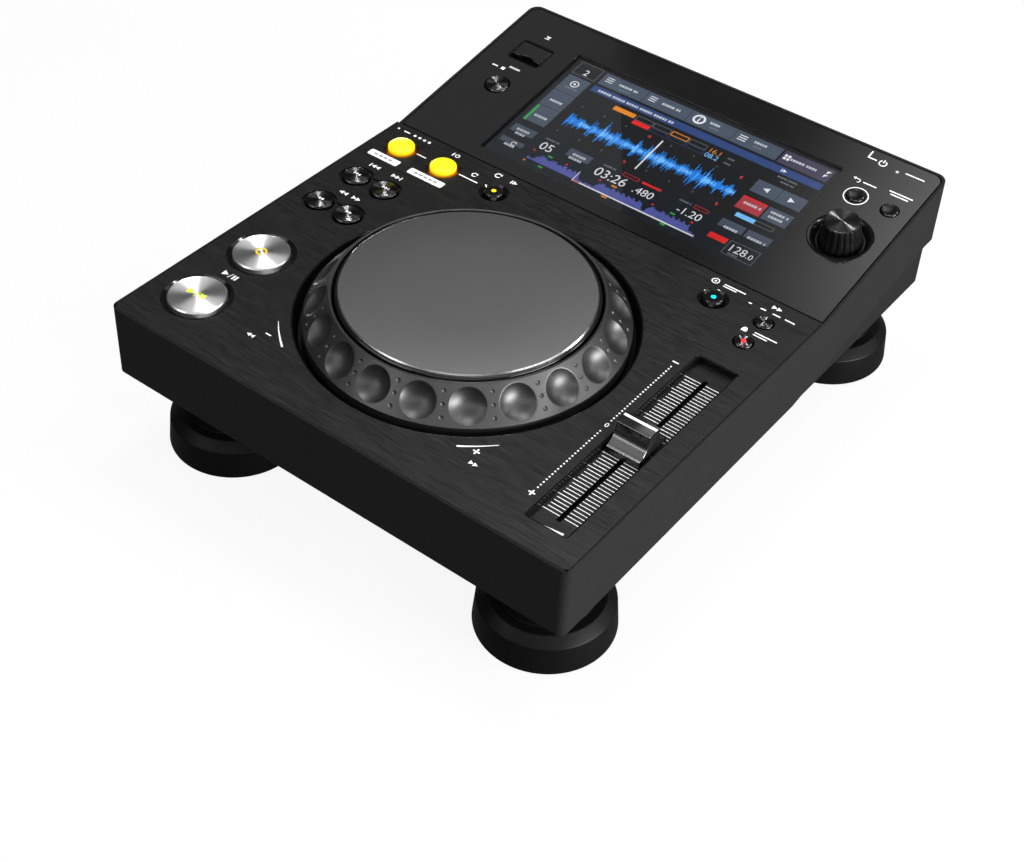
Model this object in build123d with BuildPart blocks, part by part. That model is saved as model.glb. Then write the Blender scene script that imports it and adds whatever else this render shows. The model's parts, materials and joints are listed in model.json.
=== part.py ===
"""Compact tabletop media player with a jog wheel, a tempo fader and a tilted touch display.

Millimetres. X runs to the right, Y to the back, Z up. The origin is on the floor, in the middle
of the outline, so the feet stand on Z = 0 and the front face looks along -Y.
"""
import math
import os

from build123d import *

os.makedirs("parts", exist_ok=True)

# Overall body
button_column = 45.8
side_column = 44.1
foot_h = 46.0
deck_t = 36.0
deck_back = 16.4
display_drop = 1.4
tilt = 10.0
overhang = 12.0
lip_h = 21.0
part_inset = 17.5
wall = 2.5
floor_t = 2.2
front_corner_r = 3.5
rear_corner_r = 5.5
bevel = 0.6

# Sheets and clearances
plate_t = 1.2
skin_t = 2.0
deck_rim = 0.9
cover_t = 1.6
cover_rim = 1.4
cover_corner_r = 4.6
run = 1.0
fit = 0.1
gap = 0.35
running_fit = 0.05
flange_t = 1.5
post_r = 2.5
boss_r = 4.0
board_t = 1.6
half_share = 0.5

# Jog wheel
jog_front = 17.6
jog_top_h = 15.4
platter_r = 55.8
platter_t = 1.5
platter_edge = 0.5
rim_lap = 1.4
rim_wall = 2.7
rim_floor_t = 2.5
rim_drop = 1.2
press_gap = 0.5
rim_gap = 1.2
ring_land = 1.2
ring_top_h = 14.2
ring_slope = 11.7
ring_low_h = 0.4
skirt_depth = 4.6
skirt_t = 3.0
web_h = 4.5
web_t = 3.0
hub_bore_r = 6.2
dimple_count = 20
dimple_inset = 5.8
dimple_r = 7.8
dimple_ball_r = 11.0
well_clear = 0.2
well_wall = 0.6
wheel_gap = 1.9
well_room = 4.4
well_depth = 6.5
well_floor_t = 2.2
well_flange = 3.8
bearing_boss_r = 15.0
bearing_bore_r = 10.0
bearing_depth = 22.0
bearing_top = 4.0
bush_flange_r = 13.0
bush_flange_t = 1.5
spindle_r = 6.0
spindle_flange_r = 20.0
spindle_tail = 2.0
rib_count = 8
rib_t = 2.0
rib_h = 6.0

# Tempo fader
fader_inset = 21.1
fader_travel = 100.0
bed_front = 14.1
bed_w = 20.8
bed_end = 8.8
bed_depth = 4.0
bed_wall = 0.7
bed_floor_t = 1.5
bed_flange = 3.0
bed_corner_r = 1.5
slot_w = 2.0
cap_w = 16.4
cap_len = 20.0
cap_top_h = 13.2
cap_lip_h = 3.8
cap_ridge = 7.6
cap_float = 0.4
cap_sag = 1.6
cap_wall = 2.2
lever_t = 1.2
lever_w = 4.6
lever_play = 0.4
pot_w = 10.0
pot_end = 8.3
pot_h = 10.5
pot_channel_w = 3.4
pot_channel_h = 8.0
lever_reach = 6.0

# Deck buttons
play_inset = 23.9
play_d = 28.2
cue_d = 68.1
round_cap_r = 13.1
round_well_r = 15.8
round_rise = 1.5
search_left_inset = 15.7
search_right_inset = 33.0
search_d = 115.3
track_d = 141.1
search_cap_r = 6.8
search_well_r = 8.2
search_bar = 9.0
search_rise = 0.9
row_room = 4.1
loop_in_inset = 16.5
loop_out_inset = 42.5
loop_cap_r = 7.1
loop_well_r = 8.4
loop_rise = 1.5
reloop_inset = 73.2
mode_inset = 47.0
ring_cap_r = 4.6
ring_well_r = 7.3
ring_rise = 1.0
small_inset = 20.9
lock_room = 19.1
lock_pitch = 16.9
small_cap_r = 4.3
small_hole_r = 4.9
small_rise = 0.9
cap_edge = 0.6
dome_rise = 0.7
well_slope = 1.6
button_flange = 1.5
stem_r = 2.0
stem_len = 3.2
press_room = 1.0
switch_w = 6.0
switch_h = 3.6

# Display unit
screen_w = 154.8
screen_h = 82.6
screen_front = 9.8
screen_back = 20.82
glass_lap = 0.8
glass_t = 1.1
lcd_lip = 3.2
lcd_t = 5.0
selector_inset = 22.5
selector_up = 0.8
selector_well_r = 15.5
selector_floor_r = 11.4
selector_depth = 3.2
selector_ledge = 1.2
selector_flange_r = 17.5
knob_low_r = 10.6
knob_top_r = 8.4
knob_low = 2.2
knob_h = 9.9
flute_count = 20
flute_r = 0.9
knob_crown = 0.5
shaft_r = 3.0
tail_r = 2.0
encoder_w = 12.5
encoder_bush_r = 3.6
encoder_top = 5.2
rotor_r = 4.9
rotor_room = 0.3
encoder_wall = 0.6
shaft_top = 7.0
display_board_depth = 11.8
board_margin = 6.0
back_inset = 30.1
tag_inset = 12.3
pair_pitch = 26.9
pair_back = 34.42
disp_cap_r = 4.2
disp_hole_r = 4.7
disp_rise = 0.8
stop_inset = 23.2
stop_down = 0.3
stop_cap_r = 6.1
stop_hole_r = 6.7
usb_inset = 23.1
usb_up = 0.4
usb_w = 19.7
usb_h = 16.5
usb_corner_r = 2.5
usb_wall = 0.9
cup_corner_r = 0.4
usb_depth = 7.0
usb_flange = 2.2
door_t = 1.6
door_front = 3.2
door_notch_r = 9.0
door_notch = 1.6
pin_r = 0.5
door_gap = 0.3
door_sink = 0.1
socket_w = 14.4
socket_h = 7.0
socket_wall = 0.6
socket_top = 5.0
socket_len = 15.0
tongue_w = 11.0
tongue_t = 1.9
bar_w = 6.5
bar_h = 1.4
bar_down = 13.9
standby_inset = 22.2
standby_back = 9.72
standby_r = 0.9
pipe_len = 6.0
display_post_inset = 8.0
display_post_low_s = 10.0
display_post_back = 14.22

# Rear connectors, seen from above, X to the right
window_side = 14.5
window_low = 3.4
window_high = 19.0
panel_t = 1.2
panel_margin = 3.0
jack_h = 11.5
lan_x = -20.0
lan_w = 16.0
lan_tall = 13.0
lan_len = 20.0
lan_mouth_w = 11.8
lan_mouth_h = 8.0
lan_mouth_len = 12.0
usbb_x = 8.0
usbb_w = 12.2
usbb_tall = 11.0
usbb_len = 17.0
usbb_mouth_w = 8.6
usbb_mouth_h = 7.6
usbb_tongue_w = 5.4
usbb_tongue_h = 2.4
rca_x = 46.0
rca_pitch = 14.0
rca_r = 4.15
rca_bore_r = 1.7
rca_len = 9.5
rca_block_len = 12.0
rca_block_tall = 13.0
rca_collar_r = 5.2
rca_collar_t = 1.5
inlet_inset = 33.5
inlet_w = 22.0
inlet_tall = 13.0
inlet_len = 20.0
inlet_lobe_r = 3.9
inlet_pitch = 8.6
inlet_mouth_len = 12.0
inlet_pin_r = 1.2
power_inset = 63.5
power_w = 10.0
power_tall = 6.5
power_out = 1.6
power_flange = 1.2
power_len = 3.5
lock_slot_inset = 37.5
lock_slot_w = 7.0
lock_slot_h = 3.0
power_switch_w = 8.0
power_switch_room = 2.0

# Boards inside the case
main_left_inset = 57.5
main_right_inset = 9.5
main_front = 6.5
main_back_room = 1.0
standoff_h = 1.2
standoff_r = 3.0
standoff_inset = 5.0
power_board_left_inset = 8.5
power_board_right_inset = 53.5
coil_w = 24.0
coil_d = 28.0
coil_h = 18.0
coil_offset = 26.0
capacitor_r = 6.5
capacitor_h = 22.0
capacitor_offset = 30.0
chip_w = 22.0
chip_h = 2.0
chip_offset = 40.0
shield_w = 46.0
shield_d = 30.0
shield_h = 6.0
shield_offset = 44.0

# Feet
foot_inset = 32.9
foot_front_d = 37.0
foot_rear_inset = 32.5
foot_r = 30.8
foot_top_r = 29.5
foot_wall_h = 15.8
foot_chamfer = 2.8
foot_neck_r = 21.0
pad_r = 26.0
pad_t = 2.0
pad_sink = 1.2
foot_edge = 0.8
screw_r = 1.6
screw_head_r = 3.2
screw_head_t = 2.0
screw_len = 9.0
foot_bore_r = 4.5
foot_seat = 12.0

# Case bosses and vents
boss_front_x = 60.0
boss_front_d = 12.0
boss_rear_x = 30.0
boss_rear_inset = 8.0
boss_seat_h = 5.2
boss_cup_r = 6.0
boss_counter_r = 3.5
boss_counter_h = 2.8
vent_count = 7
vent_w = 3.0
vent_len = 46.0
vent_pitch = 8.0
vent_inset = 79.0
floor_rib_t = 1.8
floor_rib_h = 6.0
floor_rib_inset = 39.5
floor_rib_front_d = 62.0

# Jog wheel from its platter outwards
rim_r = platter_r + rim_lap
ring_in_r = rim_r + rim_gap
ring_lip_r = ring_in_r + ring_land
ring_out_r = ring_lip_r + ring_slope
dimple_ring_r = ring_lip_r + dimple_inset
well_low_r = ring_out_r + wheel_gap
jog_hole_r = ring_out_r + well_room
well_flange_r = jog_hole_r + well_flange

# Fader from its travel outwards
slot_len = fader_travel + lever_w + lever_play + lever_play
bed_len = slot_len + bed_end + bed_end
pot_len = slot_len + pot_end + pot_end

# Rows along the deck and up the display, as long as what they hold
tilt_rad = math.radians(tilt)
slope = math.tan(tilt_rad)
jog_d = jog_front + jog_hole_r
fader_d = bed_front + bed_len * half_share
row_d = max(jog_d + jog_hole_r + row_room, bed_front + bed_len + lock_room + lock_pitch)
lock_d = row_d - lock_pitch
deck_d = row_d + deck_back
screen_s = screen_front + screen_h * half_share
selector_s = screen_s + selector_up
stop_s = screen_s - stop_down
pair_s = selector_s + pair_pitch
usb_s = pair_s + usb_up
bar_s = usb_s - bar_down
display_len = max(screen_front + screen_h + screen_back, pair_s + pair_back)
standby_s = display_len - standby_back
display_post_high_s = display_len - display_post_back
body_d = deck_d + display_len * math.cos(tilt_rad)

# Columns across the deck and the display, from the sides inwards
half_w = max(jog_hole_r + button_column, screen_w * half_share + side_column)
body_w = half_w + half_w
play_x = play_inset - half_w
search_left_x = search_left_inset - half_w
search_right_x = search_right_inset - half_w
loop_in_x = loop_in_inset - half_w
loop_out_x = loop_out_inset - half_w
reloop_x = reloop_inset - half_w
mode_x = half_w - mode_inset
small_x = half_w - small_inset
fader_x = half_w - fader_inset
selector_x = half_w - selector_inset
back_x = half_w - back_inset
tag_x = half_w - tag_inset
stop_x = stop_inset - half_w
usb_x = usb_inset - half_w
standby_x = half_w - standby_inset
display_post_x = half_w - display_post_inset
window_w = body_w - window_side - window_side
inlet_x = inlet_inset - half_w
power_x = power_inset - half_w
lock_slot_x = half_w - lock_slot_inset
main_left = main_left_inset - half_w
main_right = half_w - main_right_inset
power_board_left = power_board_left_inset - half_w
power_board_right = power_board_right_inset - half_w

# Derived places
front_y = -body_d * half_share
rear_y = body_d * half_share
base_z = foot_h
deck_z = base_z + deck_t
deck_rear_y = front_y + deck_d
display_z = deck_z - display_drop
rear_top_z = display_z + (rear_y - deck_rear_y) * slope
lip_z = base_z + lip_h
lip_y = rear_y - overhang
part_y = deck_rear_y - part_inset
deck_roof = plate_t + skin_t
skin_z = deck_z - deck_roof
cover_roof = (cover_t + skin_t) / math.cos(tilt_rad)
board_front_y = deck_rear_y + main_front
jog_y = front_y + jog_d
fader_y = front_y + fader_d
play_y = front_y + play_d
cue_y = front_y + cue_d
search_y = front_y + search_d
track_y = front_y + track_d
row_y = front_y + row_d
lock_y = front_y + lock_d
flange_z = skin_z - flange_t
board_top_z = flange_z - button_flange - stem_len - press_room - switch_h

display_plane = Plane(
    origin=(0, deck_rear_y, display_z),
    x_dir=(1, 0, 0),
    z_dir=(0, -math.sin(tilt_rad), math.cos(tilt_rad)),
)
normal = (0, -math.sin(tilt_rad), math.cos(tilt_rad))
along = (0, math.cos(tilt_rad), math.sin(tilt_rad))


def deck_section(x, y):
    """Upright plane through a deck point: first axis is X, second axis is Z."""
    return Plane(origin=(x, y, 0), x_dir=(1, 0, 0), z_dir=(0, -1, 0))


def deck_axis(x, y):
    """Vertical axis through a deck point."""
    return Axis((x, y, 0), (0, 0, 1))


def display_point(x, s, h):
    """Point at x across and s up the display, h above its face."""
    return (
        x,
        deck_rear_y + along[1] * s + normal[1] * h,
        display_z + along[2] * s + normal[2] * h,
    )


def display_section(x, s):
    """Plane through a display point, cut along X: second axis is the display normal."""
    return Plane(
        origin=display_point(x, s, 0),
        x_dir=(1, 0, 0),
        z_dir=(0, -along[1], -along[2]),
    )


def display_axis(x, s):
    """Axis along the display normal through a display point."""
    return Axis(display_point(x, s, 0), normal)


def cap_profile(radius, top, edge, crown, under, stem_end):
    """Half section of a push button: crowned cap, retaining flange and stem."""
    return [
        (0, top + crown),
        (radius * half_share, top + crown * (1 - half_share * half_share)),
        (radius - edge, top),
        (radius, top - edge),
        (radius, under),
        (radius + button_flange, under),
        (radius + button_flange, under - button_flange),
        (stem_r, under - button_flange),
        (stem_r, stem_end),
        (0, stem_end),
    ]


def collar_profile(hole_r, well_r, low, top):
    """Half section of a bezel collar whose upper face slopes down to the button."""
    return [
        (hole_r, low),
        (well_r - fit, low),
        (well_r - fit, top - fit),
        (hole_r, top - well_slope),
    ]


round_places = [(play_x, play_y), (play_x, cue_y)]
search_places = [
    (search_left_x, search_y),
    (search_right_x, search_y),
    (search_left_x, track_y),
    (search_right_x, track_y),
]
loop_places = [(loop_in_x, row_y), (loop_out_x, row_y)]
small_places = [(small_x, row_y), (small_x, lock_y)]
search_mid_x = (search_left_x + search_right_x) * half_share
search_bars = [(search_mid_x, search_y), (search_mid_x, track_y)]
search_pitch = search_right_x - search_left_x
boss_places = [
    (boss_front_x, front_y + boss_front_d),
    (-boss_front_x, front_y + boss_front_d),
    (boss_rear_x, deck_rear_y - boss_rear_inset),
    (-boss_rear_x, deck_rear_y - boss_rear_inset),
]

# Upper case: deck, sides and display housing in one moulding
with BuildPart() as upper_case:
    with BuildSketch(Plane.YZ):
        with BuildLine():
            Polyline(
                (front_y, base_z),
                (front_y, deck_z - bevel),
                (front_y + bevel, deck_z),
                (deck_rear_y, deck_z),
                (deck_rear_y, display_z),
                (rear_y, rear_top_z),
                (rear_y, lip_z),
                (lip_y, lip_z),
                (part_y, base_z),
                close=True,
            )
        make_face()
    extrude(amount=half_w, both=True)
    with BuildSketch(Plane.XY.offset(base_z - run)):
        with BuildLine():
            Polyline(
                (-half_w, front_y),
                (half_w, front_y),
                (half_w, rear_y),
                (-half_w, rear_y),
                close=True,
            )
        make_face()
        fillet(vertices().group_by(Axis.Y)[0], radius=front_corner_r)
        fillet(vertices().group_by(Axis.Y)[-1], radius=rear_corner_r)
    extrude(amount=body_d, mode=Mode.INTERSECT)
    with BuildSketch(Plane.YZ):
        with BuildLine():
            Polyline(
                (front_y + wall, base_z - run),
                (front_y + wall, skin_z),
                (deck_rear_y - wall, skin_z),
                (deck_rear_y - wall, display_z - cover_roof - wall * slope),
                (rear_y - wall, rear_top_z - cover_roof - wall * slope),
                (rear_y - wall, lip_z + wall),
                (lip_y, lip_z + wall),
                (lip_y, base_z - run),
                close=True,
            )
        make_face()
    extrude(amount=half_w - wall, both=True, mode=Mode.SUBTRACT)
    with BuildSketch(Plane.XY.offset(deck_z - plate_t)):
        with Locations((0, (front_y + deck_rear_y + deck_rim + run) * half_share)):
            Rectangle(body_w - deck_rim - deck_rim, deck_d - deck_rim + run)
    extrude(amount=plate_t + run, mode=Mode.SUBTRACT)
    with BuildSketch(display_plane.offset(-cover_t)):
        with Locations((0, display_len * half_share)):
            Rectangle(body_w - cover_rim - cover_rim, display_len - cover_rim - cover_rim)
        fillet(vertices().group_by(Axis.Y)[-1], radius=cover_corner_r)
    extrude(amount=cover_t + run, mode=Mode.SUBTRACT)
    with BuildSketch(Plane.XY.offset(skin_z - run)):
        with Locations((0, jog_y)):
            Circle(jog_hole_r + fit)
        with Locations((fader_x, fader_y)):
            RectangleRounded(bed_w, bed_len, bed_corner_r)
        with Locations(*round_places):
            Circle(round_well_r)
        with Locations(*search_places):
            Circle(search_well_r)
        with Locations(*search_bars):
            Rectangle(search_pitch, search_bar)
        with Locations(*loop_places):
            Circle(loop_well_r)
        with Locations((reloop_x, row_y), (mode_x, row_y)):
            Circle(ring_well_r)
        with Locations(*small_places):
            Circle(small_hole_r)
    extrude(amount=skin_t + run + run, mode=Mode.SUBTRACT)
    with BuildSketch(display_plane.offset(-cover_t - skin_t - run)):
        with Locations((0, screen_s)):
            Rectangle(
                screen_w + glass_lap + glass_lap + fit + fit,
                screen_h + glass_lap + glass_lap + fit + fit,
            )
        with Locations((selector_x, selector_s)):
            Circle(selector_well_r + fit)
        with Locations((usb_x, usb_s)):
            RectangleRounded(usb_w, usb_h, usb_corner_r)
        with Locations((back_x, pair_s), (tag_x, pair_s)):
            Circle(disp_hole_r)
        with Locations((stop_x, stop_s)):
            Circle(stop_hole_r)
        with Locations((stop_x, bar_s)):
            Rectangle(bar_w, bar_h)
        with Locations((standby_x, standby_s)):
            Circle(standby_r)
    extrude(amount=skin_t + run + run, mode=Mode.SUBTRACT)
    with BuildSketch(Plane.XY.offset(skin_z)):
        with Locations(*boss_places):
            Circle(boss_r)
    extrude(amount=-(skin_z - base_z - boss_seat_h))
    with BuildSketch(Plane.XY.offset(base_z + boss_seat_h)):
        with Locations(*boss_places):
            Circle(screw_r)
    extrude(amount=screw_len, mode=Mode.SUBTRACT)
    with BuildSketch(display_plane.offset(-cover_t - skin_t)):
        with Locations(
            (display_post_x, display_post_low_s),
            (-display_post_x, display_post_low_s),
            (display_post_x, display_post_high_s),
            (-display_post_x, display_post_high_s),
        ):
            Circle(post_r)
    extrude(amount=-(display_board_depth - cover_t - skin_t))
upper_case.part.label = "upper_case"
export_step(upper_case.part, "parts/upper_case.step")

# Lower case: floor, rear wall and the low wedge under the display
with BuildPart() as lower_case:
    with BuildSketch(Plane.YZ):
        with BuildLine():
            Polyline(
                (part_y, base_z),
                (lip_y, base_z),
                (lip_y, lip_z),
                close=True,
            )
        make_face()
    extrude(amount=half_w - bevel, both=True)
    with BuildSketch(Plane.YZ):
        with BuildLine():
            Polyline(
                (part_y, base_z + floor_t),
                (lip_y - wall, base_z + floor_t),
                (lip_y - wall, lip_z + run),
                (part_y, lip_z + run),
                close=True,
            )
        make_face()
    extrude(amount=half_w - wall, both=True, mode=Mode.SUBTRACT)
    with BuildSketch(Plane.XY.offset(base_z)):
        with Locations((0, (front_y + wall + fit + lip_y - wall) * half_share)):
            Rectangle(
                body_w - wall - wall - fit - fit,
                lip_y - wall - front_y - wall - fit,
            )
    extrude(amount=floor_t)
    with BuildSketch(Plane.XZ.offset(-lip_y - run)):
        with Locations((0, base_z + (window_low + window_high) * half_share)):
            Rectangle(window_w, window_high - window_low)
    extrude(amount=wall + run + run, mode=Mode.SUBTRACT)
    with BuildSketch(Plane.XY.offset(base_z - run)):
        with Locations((0, rear_y - vent_inset)):
            with GridLocations(vent_pitch, 0, vent_count, 1):
                Rectangle(vent_w, vent_len)
        with Locations(
            (half_w - foot_inset, front_y + foot_front_d),
            (foot_inset - half_w, front_y + foot_front_d),
            (half_w - foot_inset, rear_y - foot_rear_inset),
            (foot_inset - half_w, rear_y - foot_rear_inset),
        ):
            Circle(screw_r)
    extrude(amount=floor_t + run + run, mode=Mode.SUBTRACT)
    with BuildSketch(Plane.XY.offset(base_z + floor_t)):
        with Locations((0, deck_rear_y - floor_rib_inset), (0, front_y + floor_rib_front_d)):
            Rectangle(body_w - wall - wall - panel_margin, floor_rib_t)
    extrude(amount=floor_rib_h)
    with BuildSketch(Plane.XY.offset(base_z + floor_t)):
        with Locations(
            (main_left + standoff_inset, board_front_y + standoff_inset),
            (main_right - standoff_inset, board_front_y + standoff_inset),
            (main_left + standoff_inset, lip_y - wall - panel_t - main_back_room - standoff_inset),
            (main_right - standoff_inset, lip_y - wall - panel_t - main_back_room - standoff_inset),
            (power_board_left + standoff_inset, board_front_y + standoff_inset),
            (power_board_right - standoff_inset, board_front_y + standoff_inset),
        ):
            Circle(standoff_r)
    extrude(amount=standoff_h)
    with BuildSketch(Plane.XY.offset(base_z)):
        with Locations(*boss_places):
            Circle(boss_cup_r)
    extrude(amount=boss_seat_h)
    with BuildSketch(Plane.XY.offset(base_z - run)):
        with Locations(*boss_places):
            Circle(boss_counter_r)
    extrude(amount=boss_counter_h + run, mode=Mode.SUBTRACT)
    with BuildSketch(Plane.XY.offset(base_z - run)):
        with Locations(*boss_places):
            Circle(screw_r)
    extrude(amount=boss_seat_h + run + run, mode=Mode.SUBTRACT)
lower_case.part.label = "lower_case"
export_step(lower_case.part, "parts/lower_case.step")

# Brushed plate that covers the deck
with BuildPart() as deck_plate:
    with BuildSketch(Plane.XY.offset(deck_z - plate_t)):
        with Locations((0, (front_y + deck_rear_y + deck_rim) * half_share)):
            Rectangle(body_w - deck_rim - deck_rim - fit - fit, deck_d - deck_rim - fit)
        fillet(vertices().group_by(Axis.Y)[0], radius=front_corner_r - deck_rim)
        with Locations((0, jog_y)):
            Circle(jog_hole_r, mode=Mode.SUBTRACT)
        with Locations((fader_x, fader_y)):
            RectangleRounded(bed_w, bed_len, bed_corner_r, mode=Mode.SUBTRACT)
        with Locations(*round_places):
            Circle(round_well_r, mode=Mode.SUBTRACT)
        with Locations(*search_places):
            Circle(search_well_r, mode=Mode.SUBTRACT)
        with Locations(*search_bars):
            Rectangle(search_pitch, search_bar, mode=Mode.SUBTRACT)
        with Locations(*loop_places):
            Circle(loop_well_r, mode=Mode.SUBTRACT)
        with Locations((reloop_x, row_y), (mode_x, row_y)):
            Circle(ring_well_r, mode=Mode.SUBTRACT)
        with Locations(*small_places):
            Circle(small_hole_r, mode=Mode.SUBTRACT)
    extrude(amount=plate_t)
deck_plate.part.label = "deck_plate"
export_step(deck_plate.part, "parts/deck_plate.step")

# Glossy cover plate of the display unit
with BuildPart() as display_plate:
    with BuildSketch(display_plane.offset(-cover_t)):
        with Locations((0, display_len * half_share)):
            Rectangle(
                body_w - cover_rim - cover_rim - fit - fit,
                display_len - cover_rim - cover_rim - fit - fit,
            )
        fillet(vertices().group_by(Axis.Y)[-1], radius=cover_corner_r)
        with Locations((0, screen_s)):
            Rectangle(screen_w, screen_h, mode=Mode.SUBTRACT)
        with Locations((selector_x, selector_s)):
            Circle(selector_well_r, mode=Mode.SUBTRACT)
        with Locations((usb_x, usb_s)):
            RectangleRounded(usb_w, usb_h, usb_corner_r, mode=Mode.SUBTRACT)
        with Locations((back_x, pair_s), (tag_x, pair_s)):
            Circle(disp_hole_r, mode=Mode.SUBTRACT)
        with Locations((stop_x, stop_s)):
            Circle(stop_hole_r, mode=Mode.SUBTRACT)
        with Locations((stop_x, bar_s)):
            Rectangle(bar_w, bar_h, mode=Mode.SUBTRACT)
        with Locations((standby_x, standby_s)):
            Circle(standby_r, mode=Mode.SUBTRACT)
    extrude(amount=cover_t)
display_plate.part.label = "display_plate"
export_step(display_plate.part, "parts/display_plate.step")

# Touch glass, seated against the back of the cover plate
with BuildPart() as screen_glass:
    with BuildSketch(display_plane.offset(-cover_t - glass_t)):
        with Locations((0, screen_s)):
            Rectangle(screen_w + glass_lap + glass_lap, screen_h + glass_lap + glass_lap)
    extrude(amount=glass_t)
screen_glass.part.label = "screen_glass"
export_step(screen_glass.part, "parts/screen_glass.step")

# Panel module behind the glass, with a rim that bears on the housing
with BuildPart() as lcd_module:
    with BuildSketch(display_plane.offset(-cover_t - skin_t - lcd_t)):
        with Locations((0, screen_s)):
            Rectangle(screen_w + lcd_lip + lcd_lip, screen_h + lcd_lip + lcd_lip)
    extrude(amount=lcd_t)
    with BuildSketch(display_plane.offset(-cover_t - skin_t)):
        with Locations((0, screen_s)):
            Rectangle(screen_w + glass_lap, screen_h + glass_lap)
    extrude(amount=skin_t - glass_t)
lcd_module.part.label = "lcd_module"
export_step(lcd_module.part, "parts/lcd_module.step")

# Glossy dish around the jog wheel, with the bearing boss under its floor
well_floor_z = deck_z - well_depth
boss_top_z = well_floor_z + bearing_top
with BuildPart() as jog_well:
    with BuildSketch(deck_section(0, jog_y)):
        with BuildLine():
            Polyline(
                (bearing_bore_r, boss_top_z),
                (bearing_boss_r, boss_top_z),
                (bearing_boss_r, well_floor_z),
                (well_low_r, well_floor_z),
                (jog_hole_r - fit - well_wall, deck_z - well_clear),
                (jog_hole_r - fit, deck_z - well_clear),
                (jog_hole_r - fit, skin_z),
                (well_flange_r, skin_z),
                (well_flange_r, skin_z - flange_t),
                (well_low_r + flange_t, skin_z - flange_t),
                (well_low_r + flange_t, well_floor_z - well_floor_t),
                (bearing_boss_r, well_floor_z - well_floor_t),
                (bearing_boss_r, boss_top_z - bearing_depth),
                (bearing_bore_r, boss_top_z - bearing_depth),
                close=True,
            )
        make_face()
    revolve(axis=deck_axis(0, jog_y))
    for rib in range(rib_count):
        turn = math.tau * rib / rib_count
        rib_mid = (bearing_boss_r + well_low_r) * half_share
        rib_plane = Plane(
            origin=(rib_mid * math.cos(turn), jog_y + rib_mid * math.sin(turn), well_floor_z - well_floor_t),
            x_dir=(math.cos(turn), math.sin(turn), 0),
            z_dir=(0, 0, 1),
        )
        with BuildSketch(rib_plane):
            Rectangle(well_low_r - bearing_boss_r + rib_t, rib_t)
        extrude(amount=-rib_h)
jog_well.part.label = "jog_well"
export_step(jog_well.part, "parts/jog_well.step")

# Flanged bearing bush pressed into the boss
with BuildPart() as jog_bushing:
    with BuildSketch(deck_section(0, jog_y)):
        with BuildLine():
            Polyline(
                (spindle_r + running_fit, boss_top_z + bush_flange_t),
                (bush_flange_r, boss_top_z + bush_flange_t),
                (bush_flange_r, boss_top_z),
                (bearing_bore_r, boss_top_z),
                (bearing_bore_r, boss_top_z - bearing_depth),
                (spindle_r + running_fit, boss_top_z - bearing_depth),
                close=True,
            )
        make_face()
    revolve(axis=deck_axis(0, jog_y))
jog_bushing.part.label = "jog_bushing"
export_step(jog_bushing.part, "parts/jog_bushing.step")

# Spindle whose flange carries the wheel
web_z = deck_z + web_h - web_t
with BuildPart() as jog_spindle:
    with BuildSketch(deck_section(0, jog_y)):
        with BuildLine():
            Polyline(
                (0, web_z + web_t),
                (spindle_r, web_z + web_t),
                (spindle_r, web_z),
                (spindle_flange_r, web_z),
                (spindle_flange_r, boss_top_z + bush_flange_t),
                (spindle_r, boss_top_z + bush_flange_t),
                (spindle_r, boss_top_z - bearing_depth - spindle_tail),
                (0, boss_top_z - bearing_depth - spindle_tail),
                close=True,
            )
        make_face()
    revolve(axis=deck_axis(0, jog_y))
jog_spindle.part.label = "jog_spindle"
export_step(jog_spindle.part, "parts/jog_spindle.step")

# Dimpled wheel
ring_top_z = deck_z + ring_top_h
ring_low_z = deck_z + ring_low_h
cone_run = ring_out_r - ring_lip_r
cone_fall = ring_top_z - ring_low_z
cone_len = math.hypot(cone_run, cone_fall)
skirt_z = deck_z - skirt_depth
inner_cone_r = ring_lip_r + cone_run * (ring_top_z - web_z) / cone_fall - skirt_t
dimple_z = ring_top_z - (dimple_ring_r - ring_lip_r) * cone_fall / cone_run
ball_lift = math.sqrt(dimple_ball_r**2 - dimple_r**2)
ball_ring_r = dimple_ring_r + ball_lift * cone_fall / cone_len
ball_z = dimple_z + ball_lift * cone_run / cone_len
with BuildPart() as jog_ring:
    with BuildSketch(deck_section(0, jog_y)):
        with BuildLine():
            Polyline(
                (hub_bore_r, web_z),
                (inner_cone_r, web_z),
                (ring_out_r - skirt_t, ring_low_z),
                (ring_out_r - skirt_t, skirt_z),
                (ring_out_r, skirt_z),
                (ring_out_r, ring_low_z),
                (ring_lip_r, ring_top_z),
                (ring_in_r, ring_top_z),
                (ring_in_r, web_z + web_t),
                (hub_bore_r, web_z + web_t),
                close=True,
            )
        make_face()
    revolve(axis=deck_axis(0, jog_y))
    for dimple in range(dimple_count):
        turn = math.tau * dimple / dimple_count
        ball_plane = Plane(
            origin=(ball_ring_r * math.cos(turn), jog_y + ball_ring_r * math.sin(turn), ball_z),
            x_dir=(math.cos(turn), math.sin(turn), 0),
            z_dir=(math.sin(turn), -math.cos(turn), 0),
        )
        with BuildSketch(ball_plane):
            Circle(dimple_ball_r)
            Rectangle(dimple_ball_r, dimple_ball_r * 2, align=(Align.MAX, Align.CENTER), mode=Mode.SUBTRACT)
        revolve(axis=Axis(ball_plane.origin, (0, 0, 1)), mode=Mode.SUBTRACT)
jog_ring.part.label = "jog_ring"
export_step(jog_ring.part, "parts/jog_ring.step")

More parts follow.
